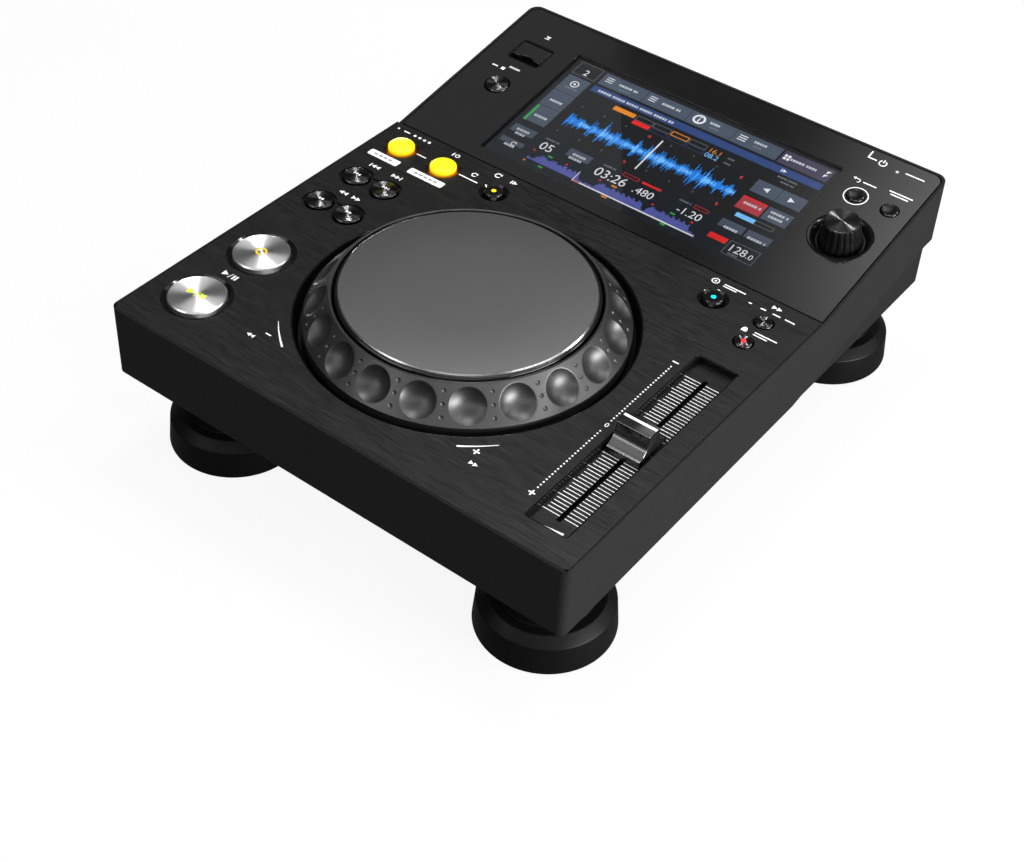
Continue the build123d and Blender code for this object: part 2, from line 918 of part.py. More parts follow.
# Black carrier of the platter, free to be pressed a little way
jog_top_z = deck_z + jog_top_h
with BuildPart() as platter_rim:
    with BuildSketch(deck_section(0, jog_y)):
        with BuildLine():
            Polyline(
                (0, jog_top_z - platter_t),
                (platter_r, jog_top_z - platter_t),
                (platter_r, jog_top_z - platter_edge),
                (rim_r, jog_top_z - rim_drop - platter_edge),
                (rim_r, web_z + web_t + press_gap),
                (rim_r - rim_wall, web_z + web_t + press_gap),
                (rim_r - rim_wall, jog_top_z - platter_t - rim_floor_t),
                (0, jog_top_z - platter_t - rim_floor_t),
                close=True,
            )
        make_face()
    revolve(axis=deck_axis(0, jog_y))
platter_rim.part.label = "platter_rim"
export_step(platter_rim.part, "parts/platter_rim.step")

# Spun top plate of the jog wheel
with BuildPart() as jog_platter:
    with BuildSketch(deck_section(0, jog_y)):
        with BuildLine():
            Polyline(
                (0, jog_top_z),
                (platter_r - platter_edge, jog_top_z),
                (platter_r, jog_top_z - platter_edge),
                (platter_r, jog_top_z - platter_t),
                (0, jog_top_z - platter_t),
                close=True,
            )
        make_face()
    revolve(axis=deck_axis(0, jog_y))
jog_platter.part.label = "jog_platter"
export_step(jog_platter.part, "parts/jog_platter.step")

# Sunk bed of the tempo fader
bed_z = deck_z - bed_depth
with BuildPart() as fader_bed:
    with BuildSketch(Plane.XY.offset(bed_z - bed_floor_t)):
        with Locations((fader_x, fader_y)):
            RectangleRounded(bed_w - fit - fit, bed_len - fit - fit, bed_corner_r)
    extrude(amount=bed_depth + bed_floor_t - fit)
    with BuildSketch(Plane.XY.offset(bed_z)):
        with Locations((fader_x, fader_y)):
            RectangleRounded(
                bed_w - bed_wall - bed_wall,
                bed_len - bed_wall - bed_wall,
                bed_corner_r - bed_wall,
            )
    extrude(amount=bed_depth + run, mode=Mode.SUBTRACT)
    with BuildSketch(Plane.XY.offset(skin_z - flange_t)):
        with Locations((fader_x, fader_y)):
            Rectangle(bed_w + bed_flange + bed_flange, bed_len + bed_flange)
            Rectangle(bed_w - bed_wall, bed_len - bed_wall, mode=Mode.SUBTRACT)
    extrude(amount=flange_t)
    with BuildSketch(Plane.XY.offset(bed_z - bed_floor_t - run)):
        with Locations((fader_x, fader_y)):
            SlotOverall(slot_len, slot_w, rotation=90)
    extrude(amount=bed_floor_t + run + run, mode=Mode.SUBTRACT)
fader_bed.part.label = "fader_bed"
export_step(fader_bed.part, "parts/fader_bed.step")

# Slide control under the bed
with BuildPart() as slide_pot:
    with BuildSketch(Plane.XY.offset(bed_z - bed_floor_t - pot_h)):
        with Locations((fader_x, fader_y)):
            Rectangle(pot_w, pot_len)
    extrude(amount=pot_h)
    with BuildSketch(Plane.XY.offset(bed_z - bed_floor_t - pot_channel_h)):
        with Locations((fader_x, fader_y)):
            Rectangle(pot_channel_w, slot_len)
    extrude(amount=pot_channel_h + run, mode=Mode.SUBTRACT)
slide_pot.part.label = "slide_pot"
export_step(slide_pot.part, "parts/slide_pot.step")

# Steel tongue that carries the fader cap
cap_z = bed_z + cap_float
with BuildPart() as fader_lever:
    with BuildSketch(Plane.XY.offset(bed_z - bed_floor_t - lever_reach)):
        with Locations((fader_x, fader_y)):
            Rectangle(lever_t, lever_w)
    extrude(amount=lever_reach + bed_floor_t + cap_top_h - cap_wall)
fader_lever.part.label = "fader_lever"
export_step(fader_lever.part, "parts/fader_lever.step")

# Fader cap: a flat ridge between two hollowed finger faces
ridge_half = cap_ridge * half_share
cap_half = cap_len * half_share
hollow_y = (ridge_half + cap_half) * half_share - cap_sag
hollow_z = (cap_top_h + cap_lip_h) * half_share - cap_sag
with BuildPart() as fader_cap:
    with BuildSketch(Plane.YZ.offset(fader_x - cap_w * half_share)):
        with BuildLine():
            Polyline(
                (fader_y - cap_half, bed_z + cap_lip_h),
                (fader_y - cap_half, cap_z),
                (fader_y + cap_half, cap_z),
                (fader_y + cap_half, bed_z + cap_lip_h),
            )
            ThreePointArc(
                (fader_y + cap_half, bed_z + cap_lip_h),
                (fader_y + hollow_y, bed_z + hollow_z),
                (fader_y + ridge_half, bed_z + cap_top_h),
            )
            Line(
                (fader_y + ridge_half, bed_z + cap_top_h),
                (fader_y - ridge_half, bed_z + cap_top_h),
            )
            ThreePointArc(
                (fader_y - ridge_half, bed_z + cap_top_h),
                (fader_y - hollow_y, bed_z + hollow_z),
                (fader_y - cap_half, bed_z + cap_lip_h),
            )
        make_face()
    extrude(amount=cap_w)
    with BuildSketch(Plane.XY.offset(cap_z - run)):
        with Locations((fader_x, fader_y)):
            Rectangle(lever_t + fit + fit, lever_w + fit + fit)
    extrude(amount=cap_top_h - cap_float - cap_wall + run + fit, mode=Mode.SUBTRACT)
fader_cap.part.label = "fader_cap"
export_step(fader_cap.part, "parts/fader_cap.step")

# Left bezel: one moulding with a sloped collar for each button of the left column
left_edge_x = fit - half_w + wall + wall * half_share
left_inner_x = -well_flange_r - run
strip_d = row_d - round_rise - loop_well_r
strip_x = reloop_x + ring_well_r + bed_flange
with BuildPart() as left_bezel:
    with BuildSketch(Plane.XY.offset(flange_z)):
        with BuildLine():
            Polyline(
                (left_edge_x, front_y + boss_front_d),
                (left_inner_x, front_y + boss_front_d),
                (left_inner_x, front_y + strip_d),
                (strip_x, front_y + strip_d),
                (strip_x, row_y + loop_well_r + fit),
                (left_edge_x, row_y + loop_well_r + fit),
                close=True,
            )
        make_face()
        with Locations(*round_places):
            Circle(round_cap_r + gap, mode=Mode.SUBTRACT)
        with Locations(*search_places):
            Circle(search_cap_r + gap, mode=Mode.SUBTRACT)
        with Locations(*loop_places):
            Circle(loop_cap_r + gap, mode=Mode.SUBTRACT)
        with Locations((reloop_x, row_y)):
            Circle(ring_cap_r + gap, mode=Mode.SUBTRACT)
    extrude(amount=flange_t)
    for x, y in round_places:
        with BuildSketch(deck_section(x, y)):
            with BuildLine():
                Polyline(*collar_profile(round_cap_r + gap, round_well_r, flange_z, deck_z), close=True)
            make_face()
        revolve(axis=deck_axis(x, y))
    for x, y in loop_places:
        with BuildSketch(deck_section(x, y)):
            with BuildLine():
                Polyline(*collar_profile(loop_cap_r + gap, loop_well_r, flange_z, deck_z), close=True)
            make_face()
        revolve(axis=deck_axis(x, y))
    with BuildSketch(Plane.XY.offset(skin_z)):
        with Locations(*search_bars):
            Rectangle(search_pitch, search_bar - fit - fit)
        with Locations(*search_places):
            Circle(search_well_r - fit)
            Circle(search_cap_r + gap, mode=Mode.SUBTRACT)
        with Locations(*search_places):
            Circle(search_cap_r + gap, mode=Mode.SUBTRACT)
    extrude(amount=deck_roof - search_rise)
    with BuildSketch(deck_section(reloop_x, row_y)):
        with BuildLine():
            Polyline(*collar_profile(ring_cap_r + gap, ring_well_r, flange_z, deck_z), close=True)
        make_face()
    revolve(axis=deck_axis(reloop_x, row_y))
    with BuildSketch(Plane.XY.offset(flange_z)):
        for post_y in ((play_y + cue_y) * half_share, (cue_y + search_y) * half_share):
            with Locations((left_edge_x + post_r, post_y), (left_inner_x - post_r, post_y)):
                Circle(post_r)
        with Locations(
            (left_edge_x + post_r, (track_y + row_y) * half_share),
            ((loop_out_x + reloop_x) * half_share, row_y),
        ):
            Circle(post_r)
    extrude(amount=-(flange_z - board_top_z))
left_bezel.part.label = "left_bezel"
export_step(left_bezel.part, "parts/left_bezel.step")

# Right bezel: the same for the three buttons behind the fader
right_edge_x = -left_edge_x
right_inner_x = mode_x - ring_well_r - bed_flange - round_rise
right_front_y = lock_y - small_hole_r - bed_flange - round_rise
right_rear_y = row_y + loop_well_r + fit
with BuildPart() as right_bezel:
    with BuildSketch(Plane.XY.offset(flange_z)):
        with BuildLine():
            Polyline(
                (right_inner_x, right_front_y + bed_flange),
                (right_inner_x + bed_flange, right_front_y),
                (right_edge_x, right_front_y),
                (right_edge_x, right_rear_y),
                (right_inner_x, right_rear_y),
                close=True,
            )
        make_face()
        with Locations((mode_x, row_y)):
            Circle(ring_cap_r + gap, mode=Mode.SUBTRACT)
        with Locations(*small_places):
            Circle(small_cap_r + gap, mode=Mode.SUBTRACT)
    extrude(amount=flange_t)
    with BuildSketch(deck_section(mode_x, row_y)):
        with BuildLine():
            Polyline(*collar_profile(ring_cap_r + gap, ring_well_r, flange_z, deck_z), close=True)
        make_face()
    revolve(axis=deck_axis(mode_x, row_y))
    with BuildSketch(Plane.XY.offset(flange_z)):
        with Locations(
            ((mode_x + small_x) * half_share, (lock_y + row_y) * half_share),
            (right_edge_x - post_r, right_front_y + post_r),
            (right_edge_x - post_r, right_rear_y - post_r),
            (mode_x, right_front_y + post_r + round_rise),
        ):
            Circle(post_r)
    extrude(amount=-(flange_z - board_top_z))
right_bezel.part.label = "right_bezel"
export_step(right_bezel.part, "parts/right_bezel.step")

# Switch boards under the deck buttons
with BuildPart() as left_board:
    with BuildSketch(Plane.XY.offset(board_top_z - board_t)):
        with BuildLine():
            Polyline(
                (left_edge_x, front_y + boss_front_d),
                (left_inner_x, front_y + boss_front_d),
                (left_inner_x, front_y + strip_d),
                (strip_x, front_y + strip_d),
                (strip_x, row_y + loop_well_r),
                (left_edge_x, row_y + loop_well_r),
                close=True,
            )
        make_face()
    extrude(amount=board_t)
    with BuildSketch(Plane.XY.offset(board_top_z)):
        with Locations(*round_places, *search_places, *loop_places, (reloop_x, row_y)):
            Rectangle(switch_w, switch_w)
    extrude(amount=switch_h)
left_board.part.label = "left_board"
export_step(left_board.part, "parts/left_board.step")

with BuildPart() as right_board:
    with BuildSketch(Plane.XY.offset(board_top_z - board_t)):
        with BuildLine():
            Polyline(
                (right_inner_x + bed_flange, right_front_y),
                (right_edge_x, right_front_y),
                (right_edge_x, right_rear_y),
                (right_inner_x + bed_flange, right_rear_y),
                close=True,
            )
        make_face()
    extrude(amount=board_t)
    with BuildSketch(Plane.XY.offset(board_top_z)):
        with Locations((mode_x, row_y), *small_places):
            Rectangle(switch_w, switch_w)
    extrude(amount=switch_h)
right_board.part.label = "right_board"
export_step(right_board.part, "parts/right_board.step")

# Deck buttons: name, place, cap radius, height over the deck and crown
deck_stem_z = board_top_z + switch_h + press_room
deck_buttons = [
    ("play_button", play_x, play_y, round_cap_r, round_rise, 0),
    ("cue_button", play_x, cue_y, round_cap_r, round_rise, 0),
    ("search_back_button", search_left_x, search_y, search_cap_r, 0, dome_rise),
    ("search_forward_button", search_right_x, search_y, search_cap_r, 0, dome_rise),
    ("track_back_button", search_left_x, track_y, search_cap_r, 0, dome_rise),
    ("track_forward_button", search_right_x, track_y, search_cap_r, 0, dome_rise),
    ("loop_in_button", loop_in_x, row_y, loop_cap_r, loop_rise, dome_rise),
    ("loop_out_button", loop_out_x, row_y, loop_cap_r, loop_rise, dome_rise),
    ("reloop_button", reloop_x, row_y, ring_cap_r, ring_rise, 0),
    ("jog_mode_button", mode_x, row_y, ring_cap_r, ring_rise, 0),
    ("tempo_range_button", small_x, row_y, small_cap_r, small_rise, 0),
    ("key_lock_button", small_x, lock_y, small_cap_r, small_rise, 0),
]
for name, x, y, radius, rise, crown in deck_buttons:
    with BuildPart() as deck_button:
        with BuildSketch(deck_section(x, y)):
            with BuildLine():
                Polyline(
                    *cap_profile(radius, deck_z + rise, cap_edge, crown, flange_z, deck_stem_z),
                    close=True,
                )
            make_face()
        revolve(axis=deck_axis(x, y))
    deck_button.part.label = name
    export_step(deck_button.part, f"parts/{name}.step")

# Board behind the display, with the switches of the display buttons
cover_under = -cover_t - skin_t
display_stem = cover_under - button_flange - stem_len
display_switch = display_board_depth + display_stem - press_room
with BuildPart() as display_board:
    with BuildSketch(display_plane.offset(-display_board_depth - board_t)):
        with Locations((0, display_len * half_share)):
            Rectangle(body_w - board_margin - board_margin, display_len - board_margin - board_margin)
        with Locations((usb_x, usb_s)):
            Rectangle(socket_w + run + run, socket_h + run + run, mode=Mode.SUBTRACT)
    extrude(amount=board_t)
    with BuildSketch(display_plane.offset(-display_board_depth)):
        with Locations((back_x, pair_s), (tag_x, pair_s), (stop_x, stop_s)):
            Rectangle(switch_w, switch_w)
    extrude(amount=display_switch)
display_board.part.label = "display_board"
export_step(display_board.part, "parts/display_board.step")

# Display buttons: name, place and cap radius
display_buttons = [
    ("usb_stop_button", stop_x, stop_s, stop_cap_r),
    ("back_button", back_x, pair_s, disp_cap_r),
    ("tag_button", tag_x, pair_s, disp_cap_r),
]
for name, x, s, radius in display_buttons:
    with BuildPart() as display_button:
        with BuildSketch(display_section(x, s)):
            with BuildLine():
                Polyline(
                    *cap_profile(radius, disp_rise, cap_edge, 0, cover_under, display_stem),
                    close=True,
                )
            make_face()
        revolve(axis=display_axis(x, s))
    display_button.part.label = name
    export_step(display_button.part, f"parts/{name}.step")

# Dish under the selector knob
with BuildPart() as selector_well:
    with BuildSketch(display_section(selector_x, selector_s)):
        with BuildLine():
            Polyline(
                (selector_floor_r, -selector_depth),
                (encoder_bush_r + fit, -selector_depth),
                (encoder_bush_r + fit, cover_under - selector_ledge),
                (selector_flange_r, cover_under - selector_ledge),
                (selector_flange_r, cover_under),
                (selector_well_r - fit, cover_under),
                (selector_well_r - fit, -fit),
                (selector_well_r - bevel, -fit),
            )
            ThreePointArc(
                (selector_well_r - bevel, -fit),
                (
                    (selector_well_r + selector_floor_r) * half_share - bevel,
                    -selector_depth * half_share - bevel,
                ),
                (selector_floor_r, -selector_depth),
            )
        make_face()
    revolve(axis=display_axis(selector_x, selector_s))
selector_well.part.label = "selector_well"
export_step(selector_well.part, "parts/selector_well.step")

# Rotary encoder: fixed body, turning rotor, and a shaft that can be pressed
encoder_low = -display_board_depth
cavity_top = -encoder_top - encoder_wall - encoder_wall
with BuildPart() as encoder_body:
    with BuildSketch(display_plane.offset(encoder_low)):
        with Locations((selector_x, selector_s)):
            Rectangle(encoder_w, encoder_w)
    extrude(amount=-encoder_top - encoder_low)
    with BuildSketch(display_plane.offset(-encoder_top)):
        with Locations((selector_x, selector_s)):
            Circle(encoder_bush_r)
    extrude(amount=encoder_top - selector_depth + selector_ledge)
    with BuildSketch(display_plane.offset(encoder_low + encoder_wall)):
        with Locations((selector_x, selector_s)):
            Circle(rotor_r + rotor_room)
    extrude(amount=cavity_top - encoder_low - encoder_wall, mode=Mode.SUBTRACT)
    with BuildSketch(display_plane.offset(encoder_low + encoder_wall)):
        with Locations((selector_x, selector_s)):
            Circle(shaft_r + running_fit)
    extrude(amount=-encoder_low, mode=Mode.SUBTRACT)
encoder_body.part.label = "encoder_body"
export_step(encoder_body.part, "parts/encoder_body.step")

rotor_low = encoder_low + encoder_wall
rotor_top = cavity_top - rotor_room
with BuildPart() as encoder_rotor:
    with BuildSketch(display_section(selector_x, selector_s)):
        with BuildLine():
            Polyline(
                (0, rotor_low),
                (rotor_r, rotor_low),
                (rotor_r, rotor_top),
                (tail_r + running_fit, rotor_top),
                (tail_r + running_fit, rotor_low + encoder_wall),
                (0, rotor_low + encoder_wall),
                close=True,
            )
        make_face()
    revolve(axis=display_axis(selector_x, selector_s))
encoder_rotor.part.label = "encoder_rotor"
export_step(encoder_rotor.part, "parts/encoder_rotor.step")

with BuildPart() as selector_shaft:
    with BuildSketch(display_section(selector_x, selector_s)):
        with BuildLine():
            Polyline(
                (0, rotor_low + encoder_wall + press_room),
                (tail_r, rotor_low + encoder_wall + press_room),
                (tail_r, rotor_top + press_room),
                (shaft_r, rotor_top + press_room),
                (shaft_r, shaft_top),
                (0, shaft_top),
                close=True,
            )
        make_face()
    revolve(axis=display_axis(selector_x, selector_s))
selector_shaft.part.label = "selector_shaft"
export_step(selector_shaft.part, "parts/selector_shaft.step")

# Fluted knob
flute_low_r = knob_low_r + flute_r * half_share
flute_high_r = knob_top_r + flute_r * half_share
with BuildPart() as selector_knob:
    with BuildSketch(display_plane.offset(-knob_low)):
        with Locations((selector_x, selector_s)):
            Circle(knob_low_r)
            with PolarLocations(flute_low_r, flute_count):
                Circle(flute_r, mode=Mode.SUBTRACT)
    with BuildSketch(display_plane.offset(knob_h - knob_crown)):
        with Locations((selector_x, selector_s)):
            Circle(knob_top_r)
            with PolarLocations(flute_high_r, flute_count):
                Circle(flute_r, mode=Mode.SUBTRACT)
    loft(ruled=True)
    with BuildSketch(display_plane.offset(knob_h - knob_crown)):
        with Locations((selector_x, selector_s)):
            Circle(knob_top_r - flute_r * half_share)
    extrude(amount=knob_crown)
    with BuildSketch(display_plane.offset(-knob_low - run)):
        with Locations((selector_x, selector_s)):
            Circle(shaft_r + fit)
    extrude(amount=knob_low + run + shaft_top + fit, mode=Mode.SUBTRACT)
    with BuildSketch(display_plane.offset(-knob_low - run)):
        with Locations((selector_x, selector_s)):
            Circle(knob_low_r - flute_r - flute_r)
            Circle(encoder_bush_r + rotor_room + fit, mode=Mode.SUBTRACT)
    extrude(amount=knob_low + run, mode=Mode.SUBTRACT)
    with BuildSketch(display_plane.offset(-knob_low - run)):
        with Locations((selector_x, selector_s)):
            Circle(encoder_bush_r + rotor_room + fit)
    extrude(amount=knob_low + run, mode=Mode.SUBTRACT)
selector_knob.part.label = "selector_knob"
export_step(selector_knob.part, "parts/selector_knob.step")

# Cup behind the flip door, with the pin holes of its hinge
cup_half_w = usb_w * half_share - fit
cup_half_h = usb_h * half_share - fit
door_half_w = cup_half_w - usb_wall - door_gap
hinge_s = usb_s + cup_half_h - usb_wall - door_gap - door_t * half_share
hinge_h = -door_sink - door_t * half_share


def hinge_section(x):
    """Plane across the door's hinge line at x, facing right."""
    return Plane(origin=display_point(x, hinge_s, hinge_h), z_dir=(1, 0, 0))


with BuildPart() as usb_well:
    with BuildSketch(display_plane.offset(-usb_depth - flange_t)):
        with Locations((usb_x, usb_s)):
            RectangleRounded(cup_half_w * 2, cup_half_h * 2, usb_corner_r - fit)
    extrude(amount=usb_depth + flange_t - door_sink)
    with BuildSketch(display_plane.offset(cover_under - flange_t)):
        with Locations((usb_x, usb_s)):
            Rectangle(usb_w + usb_flange + usb_flange, usb_h + usb_flange + usb_flange)
    extrude(amount=flange_t)
    with BuildSketch(display_plane.offset(-usb_depth)):
        with Locations((usb_x, usb_s)):
            RectangleRounded(
                (cup_half_w - usb_wall) * 2,
                (cup_half_h - usb_wall) * 2,
                cup_corner_r,
            )
    extrude(amount=usb_depth + run, mode=Mode.SUBTRACT)
    with BuildSketch(display_plane.offset(-usb_depth - flange_t - run)):
        with Locations((usb_x, usb_s)):
            Rectangle(socket_w + fit + fit, socket_h + fit + fit)
    extrude(amount=flange_t + run + run, mode=Mode.SUBTRACT)
    with BuildSketch(hinge_section(usb_x - usb_w)):
        Circle(pin_r + running_fit)
    extrude(amount=usb_w + usb_w, mode=Mode.SUBTRACT)
usb_well.part.label = "usb_well"
export_step(usb_well.part, "parts/usb_well.step")

# Flip door with a finger notch in its front edge
door_front_s = usb_s - cup_half_h + usb_wall + door_front
door_mid_s = (door_front_s + hinge_s) * half_share
with BuildPart() as usb_door:
    with BuildSketch(display_plane.offset(-door_sink - door_t)):
        with Locations((usb_x, door_mid_s)):
            Rectangle(door_half_w * 2, hinge_s - door_front_s)
        with Locations((usb_x, door_front_s - door_notch_r + door_notch)):
            Circle(door_notch_r, mode=Mode.SUBTRACT)
    extrude(amount=door_t)
    with BuildSketch(hinge_section(usb_x - door_half_w)):
        Circle(door_t * half_share)
    extrude(amount=door_half_w * 2)
    pin_reach = door_gap + usb_wall - fit
    with BuildSketch(hinge_section(usb_x - door_half_w - pin_reach)):
        Circle(pin_r)
    extrude(amount=(door_half_w + pin_reach) * 2)
usb_door.part.label = "usb_door"
export_step(usb_door.part, "parts/usb_door.step")

# Upright socket under the door
with BuildPart() as usb_socket:
    with BuildSketch(display_plane.offset(-socket_top - socket_len)):
        with Locations((usb_x, usb_s)):
            Rectangle(socket_w, socket_h)
    extrude(amount=socket_len)
    with BuildSketch(display_plane.offset(-socket_top - socket_len + flange_t)):
        with Locations((usb_x, usb_s)):
            Rectangle(socket_w - socket_wall - socket_wall, socket_h - socket_wall - socket_wall)
    extrude(amount=socket_len, mode=Mode.SUBTRACT)
    with BuildSketch(display_plane.offset(-socket_top - socket_len)):
        with Locations((usb_x, usb_s)):
            Rectangle(tongue_w, tongue_t)
    extrude(amount=socket_len - run)
usb_socket.part.label = "usb_socket"
export_step(usb_socket.part, "parts/usb_socket.step")

# Light pipes of the slot lamp and the standby lamp
with BuildPart() as light_pipes:
    with BuildSketch(display_plane.offset(-pipe_len)):
        with Locations((stop_x, bar_s)):
            Rectangle(bar_w - fit, bar_h - fit)
        with Locations((standby_x, standby_s)):
            Circle(standby_r - fit)
    extrude(amount=pipe_len)
light_pipes.part.label = "light_pipes"
export_step(light_pipes.part, "parts/light_pipes.step")

# Rear connector panel, behind the window of the lower case
panel_y = lip_y - wall
panel_mid_z = base_z + (window_low + window_high) * half_share
jack_z = base_z + jack_h
board_z = base_z + floor_t + standoff_h
board_face_z = board_z + board_t
with BuildPart() as rear_panel:
    with BuildSketch(Plane.XZ.offset(-panel_y)):
        with Locations((0, panel_mid_z)):
            Rectangle(window_w + panel_margin, window_high - window_low + panel_margin * half_share)
        with Locations((lan_x, board_face_z + lan_tall * half_share)):
            Rectangle(lan_w + fit + fit, lan_tall + fit + fit, mode=Mode.SUBTRACT)
        with Locations((usbb_x, board_face_z + usbb_tall * half_share)):
            Rectangle(usbb_w + fit + fit, usbb_tall + fit + fit, mode=Mode.SUBTRACT)
        with Locations((rca_x, jack_z), (rca_x + rca_pitch, jack_z)):
            Circle(rca_collar_r + fit, mode=Mode.SUBTRACT)
        with Locations((inlet_x, board_face_z + inlet_tall * half_share)):
            Rectangle(inlet_w + fit + fit, inlet_tall + fit + fit, mode=Mode.SUBTRACT)
        with Locations((power_x, jack_z)):
            Rectangle(power_w + gap + gap, power_tall + gap + gap, mode=Mode.SUBTRACT)
        with Locations((lock_slot_x, jack_z)):
            Rectangle(lock_slot_w, lock_slot_h, mode=Mode.SUBTRACT)
    extrude(amount=panel_t)
rear_panel.part.label = "rear_panel"
export_step(rear_panel.part, "parts/rear_panel.step")

# Network socket
with BuildPart() as lan_jack:
    with BuildSketch(Plane.XZ.offset(-panel_y)):
        with Locations((lan_x, board_face_z + lan_tall * half_share)):
            Rectangle(lan_w, lan_tall)
    extrude(amount=lan_len)
    with BuildSketch(Plane.XZ.offset(-panel_y - run)):
        with Locations((lan_x, board_face_z + lan_tall * half_share)):
            Rectangle(lan_mouth_w, lan_mouth_h)
    extrude(amount=lan_mouth_len, mode=Mode.SUBTRACT)
lan_jack.part.label = "lan_jack"
export_step(lan_jack.part, "parts/lan_jack.step")

# Computer socket
with BuildPart() as usb_b_jack:
    with BuildSketch(Plane.XZ.offset(-panel_y)):
        with Locations((usbb_x, board_face_z + usbb_tall * half_share)):
            Rectangle(usbb_w, usbb_tall)
    extrude(amount=usbb_len)
    with BuildSketch(Plane.XZ.offset(-panel_y - run)):
        with Locations((usbb_x, board_face_z + usbb_tall * half_share)):
            Rectangle(usbb_mouth_w, usbb_mouth_h)
            Rectangle(usbb_tongue_w, usbb_tongue_h, mode=Mode.SUBTRACT)
    extrude(amount=lan_mouth_len, mode=Mode.SUBTRACT)
usb_b_jack.part.label = "usb_b_jack"
export_step(usb_b_jack.part, "parts/usb_b_jack.step")

# Pair of line output sockets
with BuildPart() as rca_jacks:
    with BuildSketch(Plane.XZ.offset(panel_t - panel_y)):
        with Locations((rca_x + rca_pitch * half_share, board_face_z + rca_block_tall * half_share)):
            Rectangle(rca_pitch + rca_pitch, rca_block_tall)
    extrude(amount=rca_block_len)
    with BuildSketch(Plane.XZ.offset(panel_t - panel_y)):
        with Locations((rca_x, jack_z), (rca_x + rca_pitch, jack_z)):
            Circle(rca_collar_r)
    extrude(amount=-panel_t - rca_collar_t)
    with BuildSketch(Plane.XZ.offset(panel_t - panel_y)):
        with Locations((rca_x, jack_z), (rca_x + rca_pitch, jack_z)):
            Circle(rca_r)
    extrude(amount=-panel_t - rca_len)
    with BuildSketch(Plane.XZ.offset(panel_t - panel_y)):
        with Locations((rca_x, jack_z), (rca_x + rca_pitch, jack_z)):
            Circle(rca_bore_r)
    extrude(amount=-panel_t - rca_len - run, mode=Mode.SUBTRACT)
rca_jacks.part.label = "rca_jacks"
export_step(rca_jacks.part, "parts/rca_jacks.step")

# Two pin mains inlet
inlet_z = board_face_z + inlet_tall * half_share
with BuildPart() as ac_inlet:
    with BuildSketch(Plane.XZ.offset(-panel_y)):
        with Locations((inlet_x, inlet_z)):
            Rectangle(inlet_w, inlet_tall)
    extrude(amount=inlet_len)
    with BuildSketch(Plane.XZ.offset(-panel_y - run)):
        with Locations((inlet_x, inlet_z)):
            SlotCenterToCenter(inlet_pitch, inlet_lobe_r * 2)
    extrude(amount=inlet_mouth_len + run, mode=Mode.SUBTRACT)
    with BuildSketch(Plane.XZ.offset(inlet_len - panel_y)):
        with Locations(
            (inlet_x - inlet_pitch * half_share, inlet_z),
            (inlet_x + inlet_pitch * half_share, inlet_z),
        ):
            Circle(inlet_pin_r)
    extrude(amount=run + run - inlet_len)
ac_inlet.part.label = "ac_inlet"
export_step(ac_inlet.part, "parts/ac_inlet.step")

# Rear power button
with BuildPart() as power_button:
    with BuildSketch(Plane.XZ.offset(panel_t - panel_y)):
        with Locations((power_x, jack_z)):
            Rectangle(power_w, power_tall)
    extrude(amount=-panel_t - wall - power_out)
    with BuildSketch(Plane.XZ.offset(panel_t - panel_y)):
        with Locations((power_x, jack_z)):
            Rectangle(power_w + power_flange * 2, power_tall + power_flange * 2)
    extrude(amount=power_flange)
    with BuildSketch(Plane.XZ.offset(panel_t - panel_y + power_flange)):
        with Locations((power_x, jack_z)):
            Circle(stem_r)
    extrude(amount=power_len)
power_button.part.label = "power_button"
export_step(power_button.part, "parts/power_button.step")

# Main board with a screening can and a processor
board_rear_y = panel_y - panel_t - main_back_room
switch_face_y = panel_y - panel_t - power_flange - power_len - power_switch_room
with BuildPart() as main_board:
    with BuildSketch(Plane.XY.offset(board_z)):
        with BuildLine():
            Polyline(
                (main_left, board_front_y),
                (main_right, board_front_y),
                (main_right, board_rear_y),
                (main_left, board_rear_y),
                close=True,
            )
        make_face()
    extrude(amount=board_t)
    with BuildSketch(Plane.XY.offset(board_face_z)):
        with Locations((lan_x + chip_offset, board_front_y + chip_offset * half_share)):
            Rectangle(chip_w, chip_w)
    extrude(amount=chip_h)
    with BuildSketch(Plane.XY.offset(board_face_z)):
        with Locations((rca_x + shield_offset * half_share, board_front_y + shield_offset * half_share)):
            Rectangle(shield_w, shield_d)
    extrude(amount=shield_h)
    with BuildSketch(Plane.XY.offset(board_face_z)):
        with Locations((power_x, switch_face_y - power_switch_w * half_share)):
            Rectangle(power_switch_w, power_switch_w)
    extrude(amount=jack_z + power_tall * half_share - board_face_z)
main_board.part.label = "main_board"
export_step(main_board.part, "parts/main_board.step")

# Power supply board with its coil and capacitor
power_mid_x = (power_board_left + power_board_right) * half_share
with BuildPart() as power_board:
    with BuildSketch(Plane.XY.offset(board_z)):
        with BuildLine():
            Polyline(
                (power_board_left, board_front_y),
                (power_board_right, board_front_y),
                (power_board_right, board_rear_y),
                (power_board_left, board_rear_y),
                close=True,
            )
        make_face()
    extrude(amount=board_t)
    with BuildSketch(Plane.XY.offset(board_face_z)):
        with Locations((power_mid_x, board_front_y + coil_offset)):
            Rectangle(coil_w, coil_d)
    extrude(amount=coil_h)
    with BuildSketch(Plane.XY.offset(board_face_z)):
        with Locations((power_mid_x, board_front_y + coil_offset + capacitor_offset)):
            Circle(capacitor_r)
    extrude(amount=capacitor_h)
power_board.part.label = "power_board"
export_step(power_board.part, "parts/power_board.step")


